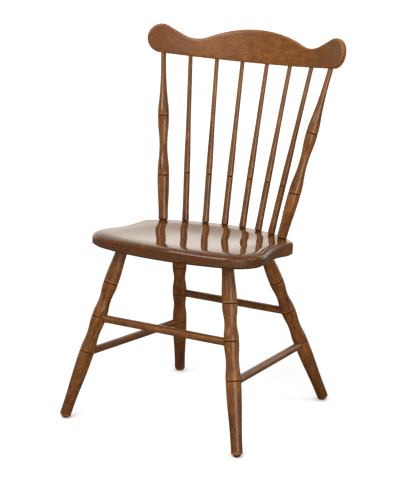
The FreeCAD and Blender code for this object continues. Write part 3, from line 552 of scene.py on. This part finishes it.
# Rings of the seat's skin, from the bevelled underside up and over the edge: inset from the outline,
# height, both in millimetres, and wear.
SEAT_RINGS = (
    (10.0, -35.0, 0.0), (5.0, -32.0, 0.0), (1.1, -29.7, 0.05), (0.3, -29.1, 0.15), (0.0, -28.0, 0.1),
    (0.0, -24.0, 0.0), (0.0, -18.0, 0.0), (0.0, -12.0, 0.0), (0.0, -7.0, 0.0), (0.0, -4.0, 0.0),
    (0.12, -3.1, 0.0), (0.45, -2.1, 0.1), (1.1, -1.1, 0.25), (2.1, -0.4, 0.15), (3.3, -0.06, 0.05),
    (4.5, 0.0, 0.0), (6.0, 0.0, 0.0), (8.0, 0.0, 0.0), (10.5, 0.0, 0.0), (13.5, 0.0, 0.0), (17.0, 0.0, 0.0),
)
SEAT_LIP = 12
SEAT_UNDER_ROWS = 8
SEAT_TOP_ROWS = 56
SEAT_TOP_SPACING = 3.6
SEAT_HEART = Vector((0, -30.0))


def seat_height_at(x, y, inset, height):
    """Height of the seat's skin with the saddle and the roll taken off, in millimetres."""
    upper = ease((height + 26.0) / 22.0)
    return height - (saddle_drop(x, y) + roll_drop(x, y, inset)) * upper


def seat_place(outline, column, row):
    """Where a point of the seat's skin lies, in metres: under, round the edge and over the top."""
    point, normal = outline[column % len(outline)]
    ring = row - SEAT_UNDER_ROWS
    if ring < 0:
        inset, height, _ = SEAT_RINGS[0]
        flat = SEAT_HEART.lerp(point - normal * inset, row / SEAT_UNDER_ROWS)
        return Vector((flat.x, flat.y, height)) * MM
    if ring < len(SEAT_RINGS):
        inset, height, _ = SEAT_RINGS[ring]
        flat = point - normal * inset
    else:
        edge = point - normal * SEAT_RINGS[-1][0]
        flat = SEAT_HEART.lerp(edge, 1.0 - (ring - len(SEAT_RINGS) + 1) / SEAT_TOP_ROWS)
        inset, height = SEAT_RINGS[-1][0] + (flat - edge).length, 0.0
    return Vector((flat.x, flat.y, seat_height_at(flat.x, flat.y, inset, height))) * MM


# Crest, laid out flat, in millimetres: a crown in the middle, a dip and a round ear at each side.
CREST_HALF = 8.0
CROWN_TOP, CROWN_RADIUS, CROWN_END = 82.4, 317.33, 133.375
DIP_AT, DIP_CENTRE, DIP_RADIUS, DIP_END = 167.0, 125.6, 80.0, 199.442
EAR_AT, EAR_RADIUS, EAR_START = 252.5, 36.3, 237.78
CREST_END = EAR_AT + EAR_RADIUS
CREST_COLUMNS = 150
CREST_EASE_ROWS = 5
CREST_FACE_ROWS = 10


def crest_heights(s):
    """Lower and upper edge of the crest laid out flat, at a distance from its middle."""
    s = abs(s)
    ear = math.sqrt(max(0.0, EAR_RADIUS ** 2 - (s - EAR_AT) ** 2))
    lower = EAR_RADIUS - ear if s > EAR_AT else 0.0
    if s <= CROWN_END:
        upper = CROWN_TOP - CROWN_RADIUS + math.sqrt(CROWN_RADIUS ** 2 - s * s)
    elif s <= DIP_END:
        upper = DIP_CENTRE - math.sqrt(DIP_RADIUS ** 2 - (s - DIP_AT) ** 2)
    elif s <= EAR_START:
        low = crest_heights(DIP_END)[1]
        high = EAR_RADIUS + math.sqrt(EAR_RADIUS ** 2 - (EAR_START - EAR_AT) ** 2)
        upper = low + (s - DIP_END) * (high - low) / (EAR_START - DIP_END)
    else:
        upper = EAR_RADIUS + ear
    return lower, upper


def crest_stations(count):
    """Distances along the crest, closer together round the ears."""
    even_share, even_end = 0.72, 236.0
    stations = []
    for step in range(count + 1):
        share = -1.0 + 2.0 * step / count
        if abs(share) < even_share:
            s = share / even_share * even_end
        else:
            turn = (abs(share) - even_share) / (1.0 - even_share) * (math.pi / 2)
            s = math.copysign(even_end + (CREST_END - even_end) * math.sin(turn), share)
        stations.append(s)
    return stations


def crest_edge_point(s, upper):
    """Point and outward normal on the crest's flat outline."""
    s = max(-CREST_END, min(CREST_END, s))
    step = 0.01
    index = 1 if upper else 0
    height = crest_heights(s)[index]
    if abs(s) > EAR_AT:
        centre = Vector((math.copysign(EAR_AT, s), EAR_RADIUS))
        return Vector((s, height)), (Vector((s, height)) - centre).normalized()
    slope = (crest_heights(s + step)[index] - crest_heights(s - step)[index]) / (2 * step)
    normal = Vector((-slope, 1)).normalized() if upper else Vector((slope, -1)).normalized()
    return Vector((s, height)), normal


def crest_place(stations, column, row):
    """Where a point of the crest's front half skin lies, laid out flat, in metres."""
    round_edge = shape().crest_edge / MM
    last_row = 2 * CREST_EASE_ROWS + CREST_FACE_ROWS
    s = stations[column]
    low_point, low_normal = crest_edge_point(s, False)
    high_point, high_normal = crest_edge_point(s, True)
    rim_row = min(row, last_row - row)
    if rim_row < CREST_EASE_ROWS:
        point, normal = (low_point, low_normal) if row == rim_row else (high_point, high_normal)
        turn = max(0, rim_row - 1) / (CREST_EASE_ROWS - 1) * math.pi / 2
        inset = round_edge * (1 - math.cos(turn))
        depth = CREST_HALF - round_edge * (1 - math.sin(turn)) if rim_row else 0.0
        flat = point - normal * inset
        return Vector((flat.x * MM, -depth * MM, flat.y * MM))
    share = (row - CREST_EASE_ROWS) / CREST_FACE_ROWS
    low = low_point - low_normal * round_edge
    high = high_point - high_normal * round_edge
    flat = low.lerp(high, share)
    return Vector((flat.x * MM, -CREST_HALF * MM, flat.y * MM))


def mark_crest(piece):
    """Paint the marks of the crest while it is still flat: rubbed rims and darker ears."""
    rim_depth, rim_width, rim_band = 5.6, 2.2, 4.2
    ear_shade, shade_start, shade_run = 0.55, 110.0, 130.0
    grain, wear, glaze_and_shade, shade = [], [], [], []
    for vertex in piece.data.vertices:
        s, depth, height = vertex.co / MM
        lower, upper = crest_heights(max(0.1 - CREST_END, min(CREST_END - 0.1, s)))
        edge = min(upper - height, height - lower)
        rim = 1.0 if abs(abs(depth) - rim_depth) < rim_width and edge < rim_band else 0.0
        wear.append(rim * (1.0 if upper - height < height - lower else 0.5))
        glaze_and_shade.append(0.0)
        grain.append((1.5 * vertex.co.z + 7.1, vertex.co.y + 2.3, 3.2 * vertex.co.x + 5.2))
        shade.append(ear_shade * ease((abs(s) - shade_start) / shade_run))
    paint_marks(piece, grain, wear, glaze_and_shade, shade)


# Finish.
def feed(tree, socket, value):
    """Give a socket a link or a plain value."""
    if isinstance(value, bpy.types.NodeSocket):
        tree.links.new(value, socket)
    else:
        socket.default_value = value


def math_node(tree, operation, first, second, clamp=False):
    """Add a Math node, each input a link or a number."""
    node = tree.nodes.new("ShaderNodeMath")
    node.operation = operation
    node.use_clamp = clamp
    feed(tree, node.inputs[0], first)
    feed(tree, node.inputs[1], second)
    return node.outputs[0]


def weighted_sum(tree, *terms):
    """Add up masks, each with its weight, up to 1."""
    total = 0.0
    for mask, weight in terms:
        total = math_node(tree, "ADD", total, math_node(tree, "MULTIPLY", mask, weight), clamp=True)
    return total


def map_range(tree, value, low, high, to_low=0.0, to_high=1.0):
    """Add a clamped Map Range node."""
    node = tree.nodes.new("ShaderNodeMapRange")
    limits = (("From Min", low), ("From Max", high), ("To Min", to_low), ("To Max", to_high))
    for label, limit in limits:
        node.inputs[label].default_value = limit
    tree.links.new(value, node.inputs["Value"])
    return node.outputs["Result"]


def vector_node(tree, operation, vector, second=None):
    """Add a Vector Math node on coordinates and a plain vector."""
    node = tree.nodes.new("ShaderNodeVectorMath")
    node.operation = operation
    tree.links.new(vector, node.inputs[0])
    if second:
        node.inputs[1].default_value = second
    return node


def stretched_noise(tree, vector, stretch, detail, roughness=0.6, distortion=0.0):
    """Height of a noise whose grain is finer along the axes with larger numbers."""
    node = tree.nodes.new("ShaderNodeTexNoise")
    settings = (("Scale", 1.0), ("Detail", detail), ("Roughness", roughness), ("Distortion", distortion))
    for label, setting in settings:
        node.inputs[label].default_value = setting
    tree.links.new(vector_node(tree, "MULTIPLY", vector, stretch).outputs[0], node.inputs["Vector"])
    return node.outputs[0]


def mix(tree, factor, first, second, kind="RGBA"):
    """Add a mix of two colours, or of two numbers."""
    node = tree.nodes.new("ShaderNodeMix")
    node.data_type = kind
    start, end, result = (6, 7, 2) if kind == "RGBA" else (2, 3, 0)
    for index, value in ((0, factor), (start, first), (end, second)):
        feed(tree, node.inputs[index], value)
    return node.outputs[result]


def open_group(name, inputs, outputs):
    """Start a shader node group with named sockets."""
    group = bpy.data.node_groups.new(name, "ShaderNodeTree")
    for label, kind in inputs:
        group.interface.new_socket(label, in_out="INPUT", socket_type=kind)
    for label, kind in outputs:
        group.interface.new_socket(label, in_out="OUTPUT", socket_type=kind)
    return group, group.nodes.new("NodeGroupInput"), group.nodes.new("NodeGroupOutput")


def grain_group():
    """Stained maple: long streaks, soft clouds in the stain and fine pores along Z."""
    group, start, end = open_group(
        "Stained grain",
        (("Grain", "NodeSocketVector"), ("Deep", "NodeSocketColor"), ("Stain", "NodeSocketColor"),
         ("Bright", "NodeSocketColor"), ("Figure", "NodeSocketFloat"), ("Shade", "NodeSocketFloat")),
        (("Color", "NodeSocketColor"), ("Pores", "NodeSocketFloat"), ("Gloss", "NodeSocketFloat")),
    )
    grain = start.outputs["Grain"]
    streaks = stretched_noise(group, grain, (190.0, 190.0, 9.0), 4.0, distortion=0.5)
    clouds = stretched_noise(group, grain, (46.0, 46.0, 15.0), 3.0, distortion=0.4)
    flecks = stretched_noise(group, grain, (330.0, 330.0, 70.0), 3.0, 0.65)
    pores = stretched_noise(group, grain, (900.0, 900.0, 40.0), 2.0)
    depth = weighted_sum(
        group,
        (map_range(group, streaks, 0.49, 0.68), 0.62),
        (map_range(group, flecks, 0.50, 0.68), 0.55),
        (map_range(group, clouds, 0.46, 0.30), 0.30),
    )
    pale = weighted_sum(
        group,
        (map_range(group, clouds, 0.47, 0.66), 0.70),
        (map_range(group, flecks, 0.47, 0.30), 0.60),
    )
    pale = math_node(group, "MULTIPLY", pale, start.outputs["Figure"])
    depth = math_node(group, "MULTIPLY", depth, start.outputs["Figure"])
    # The shade mark darkens the wood towards the deep tone, mottled: painted shade on the seat's edge and
    # rim, and the darker crest ears and leg feet.
    mottle = map_range(group, flecks, 0.38, 0.62, 0.45, 1.2)
    uneven = math_node(group, "MULTIPLY", start.outputs["Shade"], mottle)
    depth = math_node(group, "MAXIMUM", depth, uneven)
    colour = mix(group, pale, start.outputs["Stain"], start.outputs["Bright"])
    colour = mix(group, depth, colour, start.outputs["Deep"])
    group.links.new(colour, end.inputs["Color"])
    group.links.new(pores, end.inputs["Pores"])
    group.links.new(clouds, end.inputs["Gloss"])
    return group


def wear_group():
    """Thin stain on rubbed edges, and dark glaze with painted shade in scored rings and joints, broken up a
    little.
    """
    group, start, end = open_group(
        "Rubbed, glazed and shaded",
        (("Grain", "NodeSocketVector"), ("Wear", "NodeSocketFloat"), ("Glaze_and_shade", "NodeSocketFloat"),
         ("Color", "NodeSocketColor"), ("Rubbed", "NodeSocketColor"), ("Glaze_and_shade_colour", "NodeSocketColor")),
        (("Color", "NodeSocketColor"), ("Matt", "NodeSocketFloat"), ("Coat", "NodeSocketFloat")),
    )
    patches = stretched_noise(group, start.outputs["Grain"], (60.0, 60.0, 45.0), 4.0)
    broken = map_range(group, patches, 0.36, 0.62, 0.15, 1.0)
    rub = math_node(group, "MULTIPLY", start.outputs["Wear"], broken, clamp=True)
    patchy = map_range(group, patches, 0.25, 0.5, 0.75, 1.0)
    # Glaze and painted shade in rings and joints, a little patchy; it also thins the varnish there.
    glaze_and_shade_mask = math_node(group, "MULTIPLY", start.outputs["Glaze_and_shade"], patchy, clamp=True)
    colour = mix(group, rub, start.outputs["Color"], start.outputs["Rubbed"])
    colour = mix(group, glaze_and_shade_mask, colour, start.outputs["Glaze_and_shade_colour"])
    group.links.new(colour, end.inputs["Color"])
    matt = math_node(group, "MAXIMUM", glaze_and_shade_mask, math_node(group, "MULTIPLY", rub, 0.4))
    group.links.new(matt, end.inputs["Matt"])
    thin = weighted_sum(group, (glaze_and_shade_mask, 0.95), (rub, 0.85))
    group.links.new(math_node(group, "SUBTRACT", 1.0, thin, clamp=True), end.inputs["Coat"])
    return group


def new_material(name):
    """Start a material: it, its tree and its shader."""
    material = bpy.data.materials.new(name)
    material.use_nodes = True
    return material, material.node_tree, material.node_tree.nodes["Principled BSDF"]


def attribute_output(tree, name, socket):
    """Read an attribute of the mesh."""
    node = tree.nodes.new("ShaderNodeAttribute")
    node.attribute_name = name
    return node.outputs[socket]


def colour4(value):
    """A colour with its alpha."""
    return (value[0], value[1], value[2], 1.0)


# The node groups that all stained materials share, made once.
GROUPS = {}


def stained_material(name, tint, rough, coat_rough, under, figure=1.0, relief=0.10):
    """Stained wood under varnish: under is the gloss of the wood below the varnish."""
    if not GROUPS:
        GROUPS.update(grain=grain_group(), wear=wear_group())
    material, tree, shader = new_material(name)
    colours = finish_colours()
    grain = attribute_output(tree, "grain", "Vector")
    wood = tree.nodes.new("ShaderNodeGroup")
    wood.node_tree = GROUPS["grain"]
    tree.links.new(grain, wood.inputs["Grain"])
    for label, colour in (("Deep", colours.deep), ("Stain", colours.stain), ("Bright", colours.bright)):
        wood.inputs[label].default_value = colour4([part * tint for part in colour])
    wood.inputs["Figure"].default_value = figure
    edge = tree.nodes.new("ShaderNodeGroup")
    edge.node_tree = GROUPS["wear"]
    tree.links.new(grain, edge.inputs["Grain"])
    for mark, layer in (("Shade", wood), ("Wear", edge), ("Glaze_and_shade", edge)):
        tree.links.new(attribute_output(tree, mark.lower(), "Fac"), layer.inputs[mark])
    tree.links.new(wood.outputs["Color"], edge.inputs["Color"])
    edge.inputs["Rubbed"].default_value = colour4(colours.rubbed)
    edge.inputs["Glaze_and_shade_colour"].default_value = colour4(colours.glaze_and_shade)
    tree.links.new(edge.outputs["Color"], shader.inputs["Base Color"])
    gloss = map_range(tree, wood.outputs["Gloss"], 0.3, 0.7, rough - 0.05, rough + 0.06)
    gloss = math_node(tree, "ADD", gloss, math_node(tree, "MULTIPLY", edge.outputs["Matt"], 0.2))
    tree.links.new(gloss, shader.inputs["Roughness"])
    tree.links.new(edge.outputs["Coat"], shader.inputs["Coat Weight"])
    shader.inputs["Coat Roughness"].default_value = coat_rough
    shader.inputs["Coat IOR"].default_value = 1.5
    shader.inputs["Specular IOR Level"].default_value = under
    bump = tree.nodes.new("ShaderNodeBump")
    bump.inputs["Strength"].default_value = relief
    bump.inputs["Distance"].default_value = 0.0003
    tree.links.new(wood.outputs["Pores"], bump.inputs["Height"])
    tree.links.new(bump.outputs["Normal"], shader.inputs["Normal"])
    return material


def speckled_material(name, stretch, detail, dark, pale, rough, metallic=0.0):
    """A plain material of two tones, broken up by a stretched noise."""
    material, tree, shader = new_material(name)
    spot = tree.nodes.new("ShaderNodeTexCoord").outputs["Object"]
    flecks = stretched_noise(tree, spot, stretch, detail)
    tree.links.new(mix(tree, flecks, dark, pale), shader.inputs["Base Color"])
    tree.links.new(map_range(tree, flecks, 0.3, 0.7, *rough), shader.inputs["Roughness"])
    shader.inputs["Metallic"].default_value = metallic
    return material


def dress(piece, node):
    """Make a piece ride on the chair and stand for its CAD node."""
    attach(piece, "root")
    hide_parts(node)


def finish_piece(piece, material):
    """Give a piece its one material."""
    piece.data.materials.clear()
    piece.data.materials.append(material)


# Operators.
class CHAIR_OT_seat(bpy.types.Operator):
    """Saddle the seat, round its edge and bevel its underside"""

    bl_idname = "chair.seat"
    bl_label = "Seat"

    def execute(self, context):
        outline = seat_outline()
        rows = SEAT_UNDER_ROWS + len(SEAT_RINGS) + SEAT_TOP_ROWS
        piece = placed_grid(
            "seat_plank", len(outline) + 1, rows, lambda column, row: seat_place(outline, column, row)
        )
        clean_mesh(piece)
        on_edge = mark_seat(piece)
        settle(piece, Place.seat)
        smooth(piece, 40)
        finish_piece(piece, stained_material(
            "Seat varnish", tint=1.2, figure=0.55, rough=0.5, coat_rough=0.05, under=0.0, relief=0.015
        ))
        piece.data.materials.append(stained_material(
            "Seat edge varnish", tint=1.2, figure=0.75, rough=0.55, coat_rough=0.34, under=0.12, relief=0.06
        ))
        for face in piece.data.polygons:
            if all(on_edge[index] for index in face.vertices):
                face.material_index = 1
        dress(piece, "seat")
        return {"FINISHED"}


def mark_seat(piece):
    """Paint the seat's marks, and say which points lie on its edge or underside."""
    socket_glaze_and_shade, glaze_and_shade_reach, top_level = 0.55, 3.0, -0.012
    edge_shade, front_shade, rim_shade, rim_width, front_width = 0.55, 0.5, 0.95, 8.0, 36.0
    sockets = seat_sockets()
    grain, wear, glaze_and_shade, shade, on_edge = [], [], [], [], []
    for vertex, row in zip(piece.data.vertices, rows_of(piece)):
        x, y, z = vertex.co
        spot = Vector((x / MM, y / MM))
        ring = row - SEAT_UNDER_ROWS
        past = max(0, ring - len(SEAT_RINGS) + 1)
        inset = SEAT_RINGS[min(ring, len(SEAT_RINGS) - 1)][0] + SEAT_TOP_SPACING * past
        near = min((spot - centre).length - size for centre, size in sockets)
        front = ease((60.0 - spot.y) / 120.0)
        grain.append((x, z, y))
        wear.append(SEAT_RINGS[ring][2] if 0 <= ring < len(SEAT_RINGS) else 0.0)
        # Glaze and painted shade on the deck round the sockets of the posts and spindles.
        glaze_and_shade.append(socket_glaze_and_shade * ease(1.0 - near / glaze_and_shade_reach) if z > top_level else 0.0)
        # The edge is made darker all round; painted shade darkens it more towards the front, and darkens the
        # rim of the top where it rolls over, widest at the front.
        rim = rim_shade * ease(1.0 - inset / (rim_width + front_width * front))
        shade.append(edge_shade + front_shade * front if ring < SEAT_LIP else rim)
        on_edge.append(ring < SEAT_LIP - 1)
    paint_marks(piece, grain, wear, glaze_and_shade, shade)
    return on_edge


def seat_sockets():
    """Places on the deck where the posts and spindles stand, in millimetres, with their radii."""
    indices = (-3.5, -2.5, -1.5, -0.5, 0.5, 1.5, 2.5, 3.5)
    return [(Place.deck_spot(index).xy / MM, 12.0 if abs(index) > 3 else 8.8) for index in indices]


class CHAIR_OT_legs(bpy.types.Operator):
    """Turn the four legs, the front pair and the rear pair from one pattern each"""

    bl_idname = "chair.legs"
    bl_label = "Legs"

    def execute(self, context):
        material = stained_material(
            "Leg varnish", tint=1.15, figure=1.2, rough=0.40, coat_rough=0.24, under=0.04
        )
        for seed, end in enumerate(("front", "rear")):
            pattern = turn_piece("leg_pattern", leg_section(end), 3.0 + seed, LEG_SIDES, 0.75)
            for name, side in SIDES:
                piece = copy_piece(pattern, "leg_%s_%s_turning" % (end, name))
                shift_grain(piece, 1.7 * side)
                settle(piece, axis_matrix(Place.leg(end, side)))
                finish_piece(piece, material)
                dress(piece, "leg_%s_%s" % (end, name))
            bpy.data.objects.remove(pattern)
        return {"FINISHED"}


def shift_grain(piece, amount):
    """Move the grain of a copy, so that no two pieces are alike."""
    shift = amount * Vector((1.0, -0.7, 0.4))
    for item in piece.data.attributes["grain"].data:
        item.vector = Vector(item.vector) + shift


def turn_between(node, name, ends, section_of, seed, sides, material):
    """Turn a piece to the length between two points and set it there."""
    section = section_of((ends[1] - ends[0]).length / MM)
    piece = turn_piece(name, section, seed, sides)
    settle(piece, axis_matrix(ends))
    finish_piece(piece, material)
    dress(piece, node)


class CHAIR_OT_stretchers(bpy.types.Operator):
    """Turn the four stretchers and set them between the legs"""

    bl_idname = "chair.stretchers"
    bl_label = "Stretchers"

    def execute(self, context):
        material = stained_material("Stretcher varnish", tint=1.05, rough=0.45, coat_rough=0.30, under=0.05)
        _, front_middle, front_low = Place.leg_rings("front")
        _, rear_middle, rear_low = Place.leg_rings("rear")
        drops = Place.side_stretcher_drops
        low = (front_low - drops["front"], rear_low - drops["rear"])
        front = front_middle - Place.front_stretcher_drop
        rear = rear_middle - Place.rear_stretcher_drop
        runs = {
            "front_stretcher": (("front", -1), ("front", 1), (front, front)),
            "rear_stretcher": (("rear", -1), ("rear", 1), (rear, rear)),
            "left_stretcher": (("front", -1), ("rear", -1), low),
            "right_stretcher": (("front", 1), ("rear", 1), low),
        }
        for seed, (node, run) in enumerate(runs.items()):
            ends = Place.stretcher(*run)
            turn_between(node, node + "_dowel", ends, stretcher_section, 11.0 + seed, SLIM_SIDES, material)
        return {"FINISHED"}


class CHAIR_OT_back(bpy.types.Operator):
    """Turn the two posts and the six spindles of the back"""

    bl_idname = "chair.back"
    bl_label = "Posts and Spindles"

    def execute(self, context):
        material = stained_material("Back varnish", tint=1.2, rough=0.40, coat_rough=0.12, under=0.06)
        for name, side in SIDES:
            node, ends = "post_" + name, Place.back(3.5 * side)
            turn_between(node, node + "_turning", ends, post_section, 21.0 + side, POST_SIDES, material)
        for number, index in enumerate((-2.5, -1.5, -0.5, 0.5, 1.5, 2.5), start=1):
            node, seed = "spindle_%d" % number, 31.0 + 1.3 * number
            turn_between(
                node, node + "_turning", Place.back(index), spindle_section, seed, SLIM_SIDES, material
            )
        return {"FINISHED"}


class CHAIR_OT_crest(bpy.types.Operator):
    """Saw the crest flat, ease its edges and bend it"""

    bl_idname = "chair.crest"
    bl_label = "Crest"

    def execute(self, context):
        stations = crest_stations(CREST_COLUMNS)
        rows = 2 * CREST_EASE_ROWS + CREST_FACE_ROWS + 1
        piece = placed_grid(
            "crest_bent", CREST_COLUMNS + 1, rows, lambda column, row: crest_place(stations, column, row)
        )
        bpy.ops.object.mode_set(mode="EDIT")
        bpy.ops.mesh.select_all(action="SELECT")
        bpy.ops.mesh.duplicate()
        bpy.ops.transform.resize(value=(1, -1, 1), center_override=(0, 0, 0))
        bpy.ops.object.mode_set(mode="OBJECT")
        clean_mesh(piece)
        rows_of(piece)
        mark_crest(piece)
        for vertex in piece.data.vertices:
            turn = vertex.co.x / Place.crest_bend
            reach = Place.crest_bend + vertex.co.y
            x, y = reach * math.sin(turn), reach * math.cos(turn) - Place.crest_bend
            vertex.co = Vector((x, y, vertex.co.z))
        settle(piece, Place.crest)
        smooth(piece, 40)
        finish_piece(piece, stained_material(
            "Crest varnish", tint=1.3, figure=0.75, rough=0.40, coat_rough=0.26, under=0.05
        ))
        dress(piece, "crest_rail")
        return {"FINISHED"}


class CHAIR_OT_fixings(bpy.types.Operator):
    """Finish the glides under the feet and the pegs in the crest"""

    bl_idname = "chair.fixings"
    bl_label = "Glides and Pegs"

    def execute(self, context):
        colours = finish_colours()
        # Painted shade: the nickel-plated steel of the glides is given dark tones, as it lies in the shade
        # under the feet.
        shade_darkened_steel = speckled_material(
            "Glide steel in painted shade", (900.0, 260.0, 900.0), 4.0,
            (0.085, 0.070, 0.058, 1.0), (0.20, 0.17, 0.145, 1.0), (0.42, 0.6), metallic=1.0,
        )
        pegs = speckled_material(
            "Peg end grain", (700.0, 700.0, 700.0), 3.0,
            colour4(colours.deep), colour4(colours.stain), (0.35, 0.5),
        )
        for end in ("front", "rear"):
            for name, _ in SIDES:
                finish_piece(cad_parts["glide_%s_%s" % (end, name)], shade_darkened_steel)
        for name, _ in SIDES:
            finish_piece(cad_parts["crest_pin_" + name], pegs)
        return {"FINISHED"}


# Lamps: name, spot, the point that it faces and its size, all in metres, and its power in watts.
LAMPS = (
    ("Key", (-0.4, -3.0, 3.4), (0, 0, 0.5), (2.6, 2.2), 90.0),
    ("Strip", (2.72, -2.05, 1.12), (0, 0, 0.6), (2.3, 1.7), 36.0),
    ("Side", (3.1, 0.9, 3.4), (0, 0, 0.5), (1.6, 1.6), 20.0),
)
# The camera's spot in metres, its turns in degrees, its lens in millimetres, and the level direction
# from it past the chair, where the white wall stands.
CAMERA_SPOT = (2.04129, -3.3908, 1.366)
CAMERA_YAW, CAMERA_PITCH, CAMERA_ROLL = 31.18, 13.3065, 1.1195
CAMERA_LENS = 126.217
AWAY = (-0.518, 0.855, 0)


class CHAIR_OT_stage(bpy.types.Operator):
    """Lay a white floor, light it softly and set the camera"""

    bl_idname = "chair.stage"
    bl_label = "Stage"

    def execute(self, context):
        self.floor()
        self.sky(context.scene)
        for lamp in LAMPS:
            self.lamp(*lamp)
        self.camera(context.scene)
        context.scene.view_settings.view_transform = "Standard"
        return {"FINISHED"}

    def floor(self):
        """White floor with a soft shadow at the feet, and a white wall far off in reflections."""
        fresh_selection()
        bpy.ops.mesh.primitive_plane_add(size=30)
        floor = take_active("studio_floor")
        material, tree, shader = new_material("Studio floor")
        shader.inputs["Roughness"].default_value = 0.9
        shader.inputs["Specular IOR Level"].default_value = 0.0
        path = tree.nodes.new("ShaderNodeLightPath")
        spot = tree.nodes.new("ShaderNodeTexCoord").outputs["Object"]
        behind = vector_node(tree, "DOT_PRODUCT", spot, AWAY).outputs["Value"]
        mirrored = map_range(tree, behind, 0.1, 1.2, 0.08, 0.2)
        pale = mix(tree, path.outputs["Is Glossy Ray"], 0.86, mirrored, kind="FLOAT")
        tree.links.new(mix(tree, pale, (0, 0, 0, 1), (1, 1, 1, 1)), shader.inputs["Base Color"])
        reach = vector_node(tree, "LENGTH", spot).outputs["Value"]
        lift = map_range(tree, reach, 0.8, 3.0, 0.64, 1.0)
        contact = tree.nodes.new("ShaderNodeAmbientOcclusion")
        contact.inputs["Distance"].default_value = 0.045
        near_foot = map_range(tree, contact.outputs["AO"], 0.35, 0.95, 0.35, 1.0)
        lift = math_node(tree, "MULTIPLY", lift, near_foot)
        lift = math_node(tree, "MULTIPLY", path.outputs["Is Camera Ray"], lift)
        wall = map_range(tree, behind, 1.6, 3.6, 0.0, 1.1)
        wall = math_node(tree, "MULTIPLY", path.outputs["Is Glossy Ray"], wall)
        lift = math_node(tree, "ADD", lift, wall)
        tree.links.new(lift, shader.inputs["Emission Strength"])
        shader.inputs["Emission Color"].default_value = (1, 1, 1, 1)
        floor.data.materials.append(material)

    def sky(self, scene):
        """White surround: plain on the object, and a white wall behind it in reflections."""
        world = bpy.data.worlds.new("Studio")
        scene.world = world
        world.use_nodes = True
        tree = world.node_tree
        backdrop = tree.nodes["Background"]
        path = tree.nodes.new("ShaderNodeLightPath")
        aim = tree.nodes.new("ShaderNodeTexCoord").outputs["Generated"]
        behind = vector_node(tree, "DOT_PRODUCT", aim, AWAY).outputs["Value"]
        mirrored = map_range(tree, behind, 0.3, 0.72, 0.32, 1.26)
        strength = mix(tree, path.outputs["Is Glossy Ray"], 0.28, mirrored, kind="FLOAT")
        strength = mix(tree, path.outputs["Is Camera Ray"], strength, 1.02, kind="FLOAT")
        tree.links.new(strength, backdrop.inputs["Strength"])
        warm = mix(tree, path.outputs["Is Glossy Ray"], (1, 1, 1, 1), (1, 0.965, 0.89, 1))
        tree.links.new(warm, backdrop.inputs["Color"])

    def lamp(self, name, spot, target, size, power):
        """Soft lamp that faces a point."""
        fresh_selection()
        bpy.ops.object.light_add(type="AREA", location=spot)
        lamp = bpy.context.active_object
        lamp.name = name
        lamp.data.shape = "RECTANGLE"
        lamp.data.size, lamp.data.size_y = size
        lamp.data.energy = power
        aim = Vector(target) - Vector(spot)
        lamp.rotation_euler = aim.to_track_quat("-Z", "Y").to_euler()

    def camera(self, scene):
        """Camera at the photograph's place."""
        fresh_selection()
        bpy.ops.object.camera_add()
        camera = bpy.context.active_object
        camera.name = "Eye"
        camera.data.sensor_fit = "VERTICAL"
        camera.data.sensor_height = 36.0
        camera.data.lens = CAMERA_LENS
        camera.data.clip_end = 60.0
        turn = Matrix.Translation(CAMERA_SPOT)
        for angle, axis in ((CAMERA_YAW, "Z"), (90.0 - CAMERA_PITCH, "X"), (CAMERA_ROLL, "Z")):
            turn = turn @ Matrix.Rotation(math.radians(angle), 4, axis)
        camera.matrix_world = turn
        scene.camera = camera


class CHAIR_PT_panel(bpy.types.Panel):
    """Steps of the chair, in order"""

    bl_label = "Windsor Chair"
    bl_idname = "CHAIR_PT_panel"
    bl_space_type = "VIEW_3D"
    bl_region_type = "UI"
    bl_category = "Chair"

    def draw(self, context):
        layout = self.layout
        for name in ChairShape.__annotations__:
            layout.prop(context.scene.chair_shape, name)
        for name in ChairFinish.__annotations__:
            layout.prop(context.scene.chair_finish, name)
        for step in STEPS:
            layout.operator(step.bl_idname)


STEPS = (
    CHAIR_OT_seat,
    CHAIR_OT_legs,
    CHAIR_OT_stretchers,
    CHAIR_OT_back,
    CHAIR_OT_crest,
    CHAIR_OT_fixings,
    CHAIR_OT_stage,
)
CLASSES = (ChairShape, ChairFinish) + STEPS + (CHAIR_PT_panel,)


def register():
    for item in CLASSES:
        bpy.utils.register_class(item)
    bpy.types.Scene.chair_shape = bpy.props.PointerProperty(type=ChairShape)
    bpy.types.Scene.chair_finish = bpy.props.PointerProperty(type=ChairFinish)


def unregister():
    del bpy.types.Scene.chair_finish
    del bpy.types.Scene.chair_shape
    for item in reversed(CLASSES):
        bpy.utils.unregister_class(item)


def main():
    register()
    bpy.ops.chair.seat()
    bpy.ops.chair.legs()
    bpy.ops.chair.stretchers()
    bpy.ops.chair.back()
    bpy.ops.chair.crest()
    bpy.ops.chair.fixings()
    bpy.ops.chair.stage()


if __name__ == "__main__":
    main()
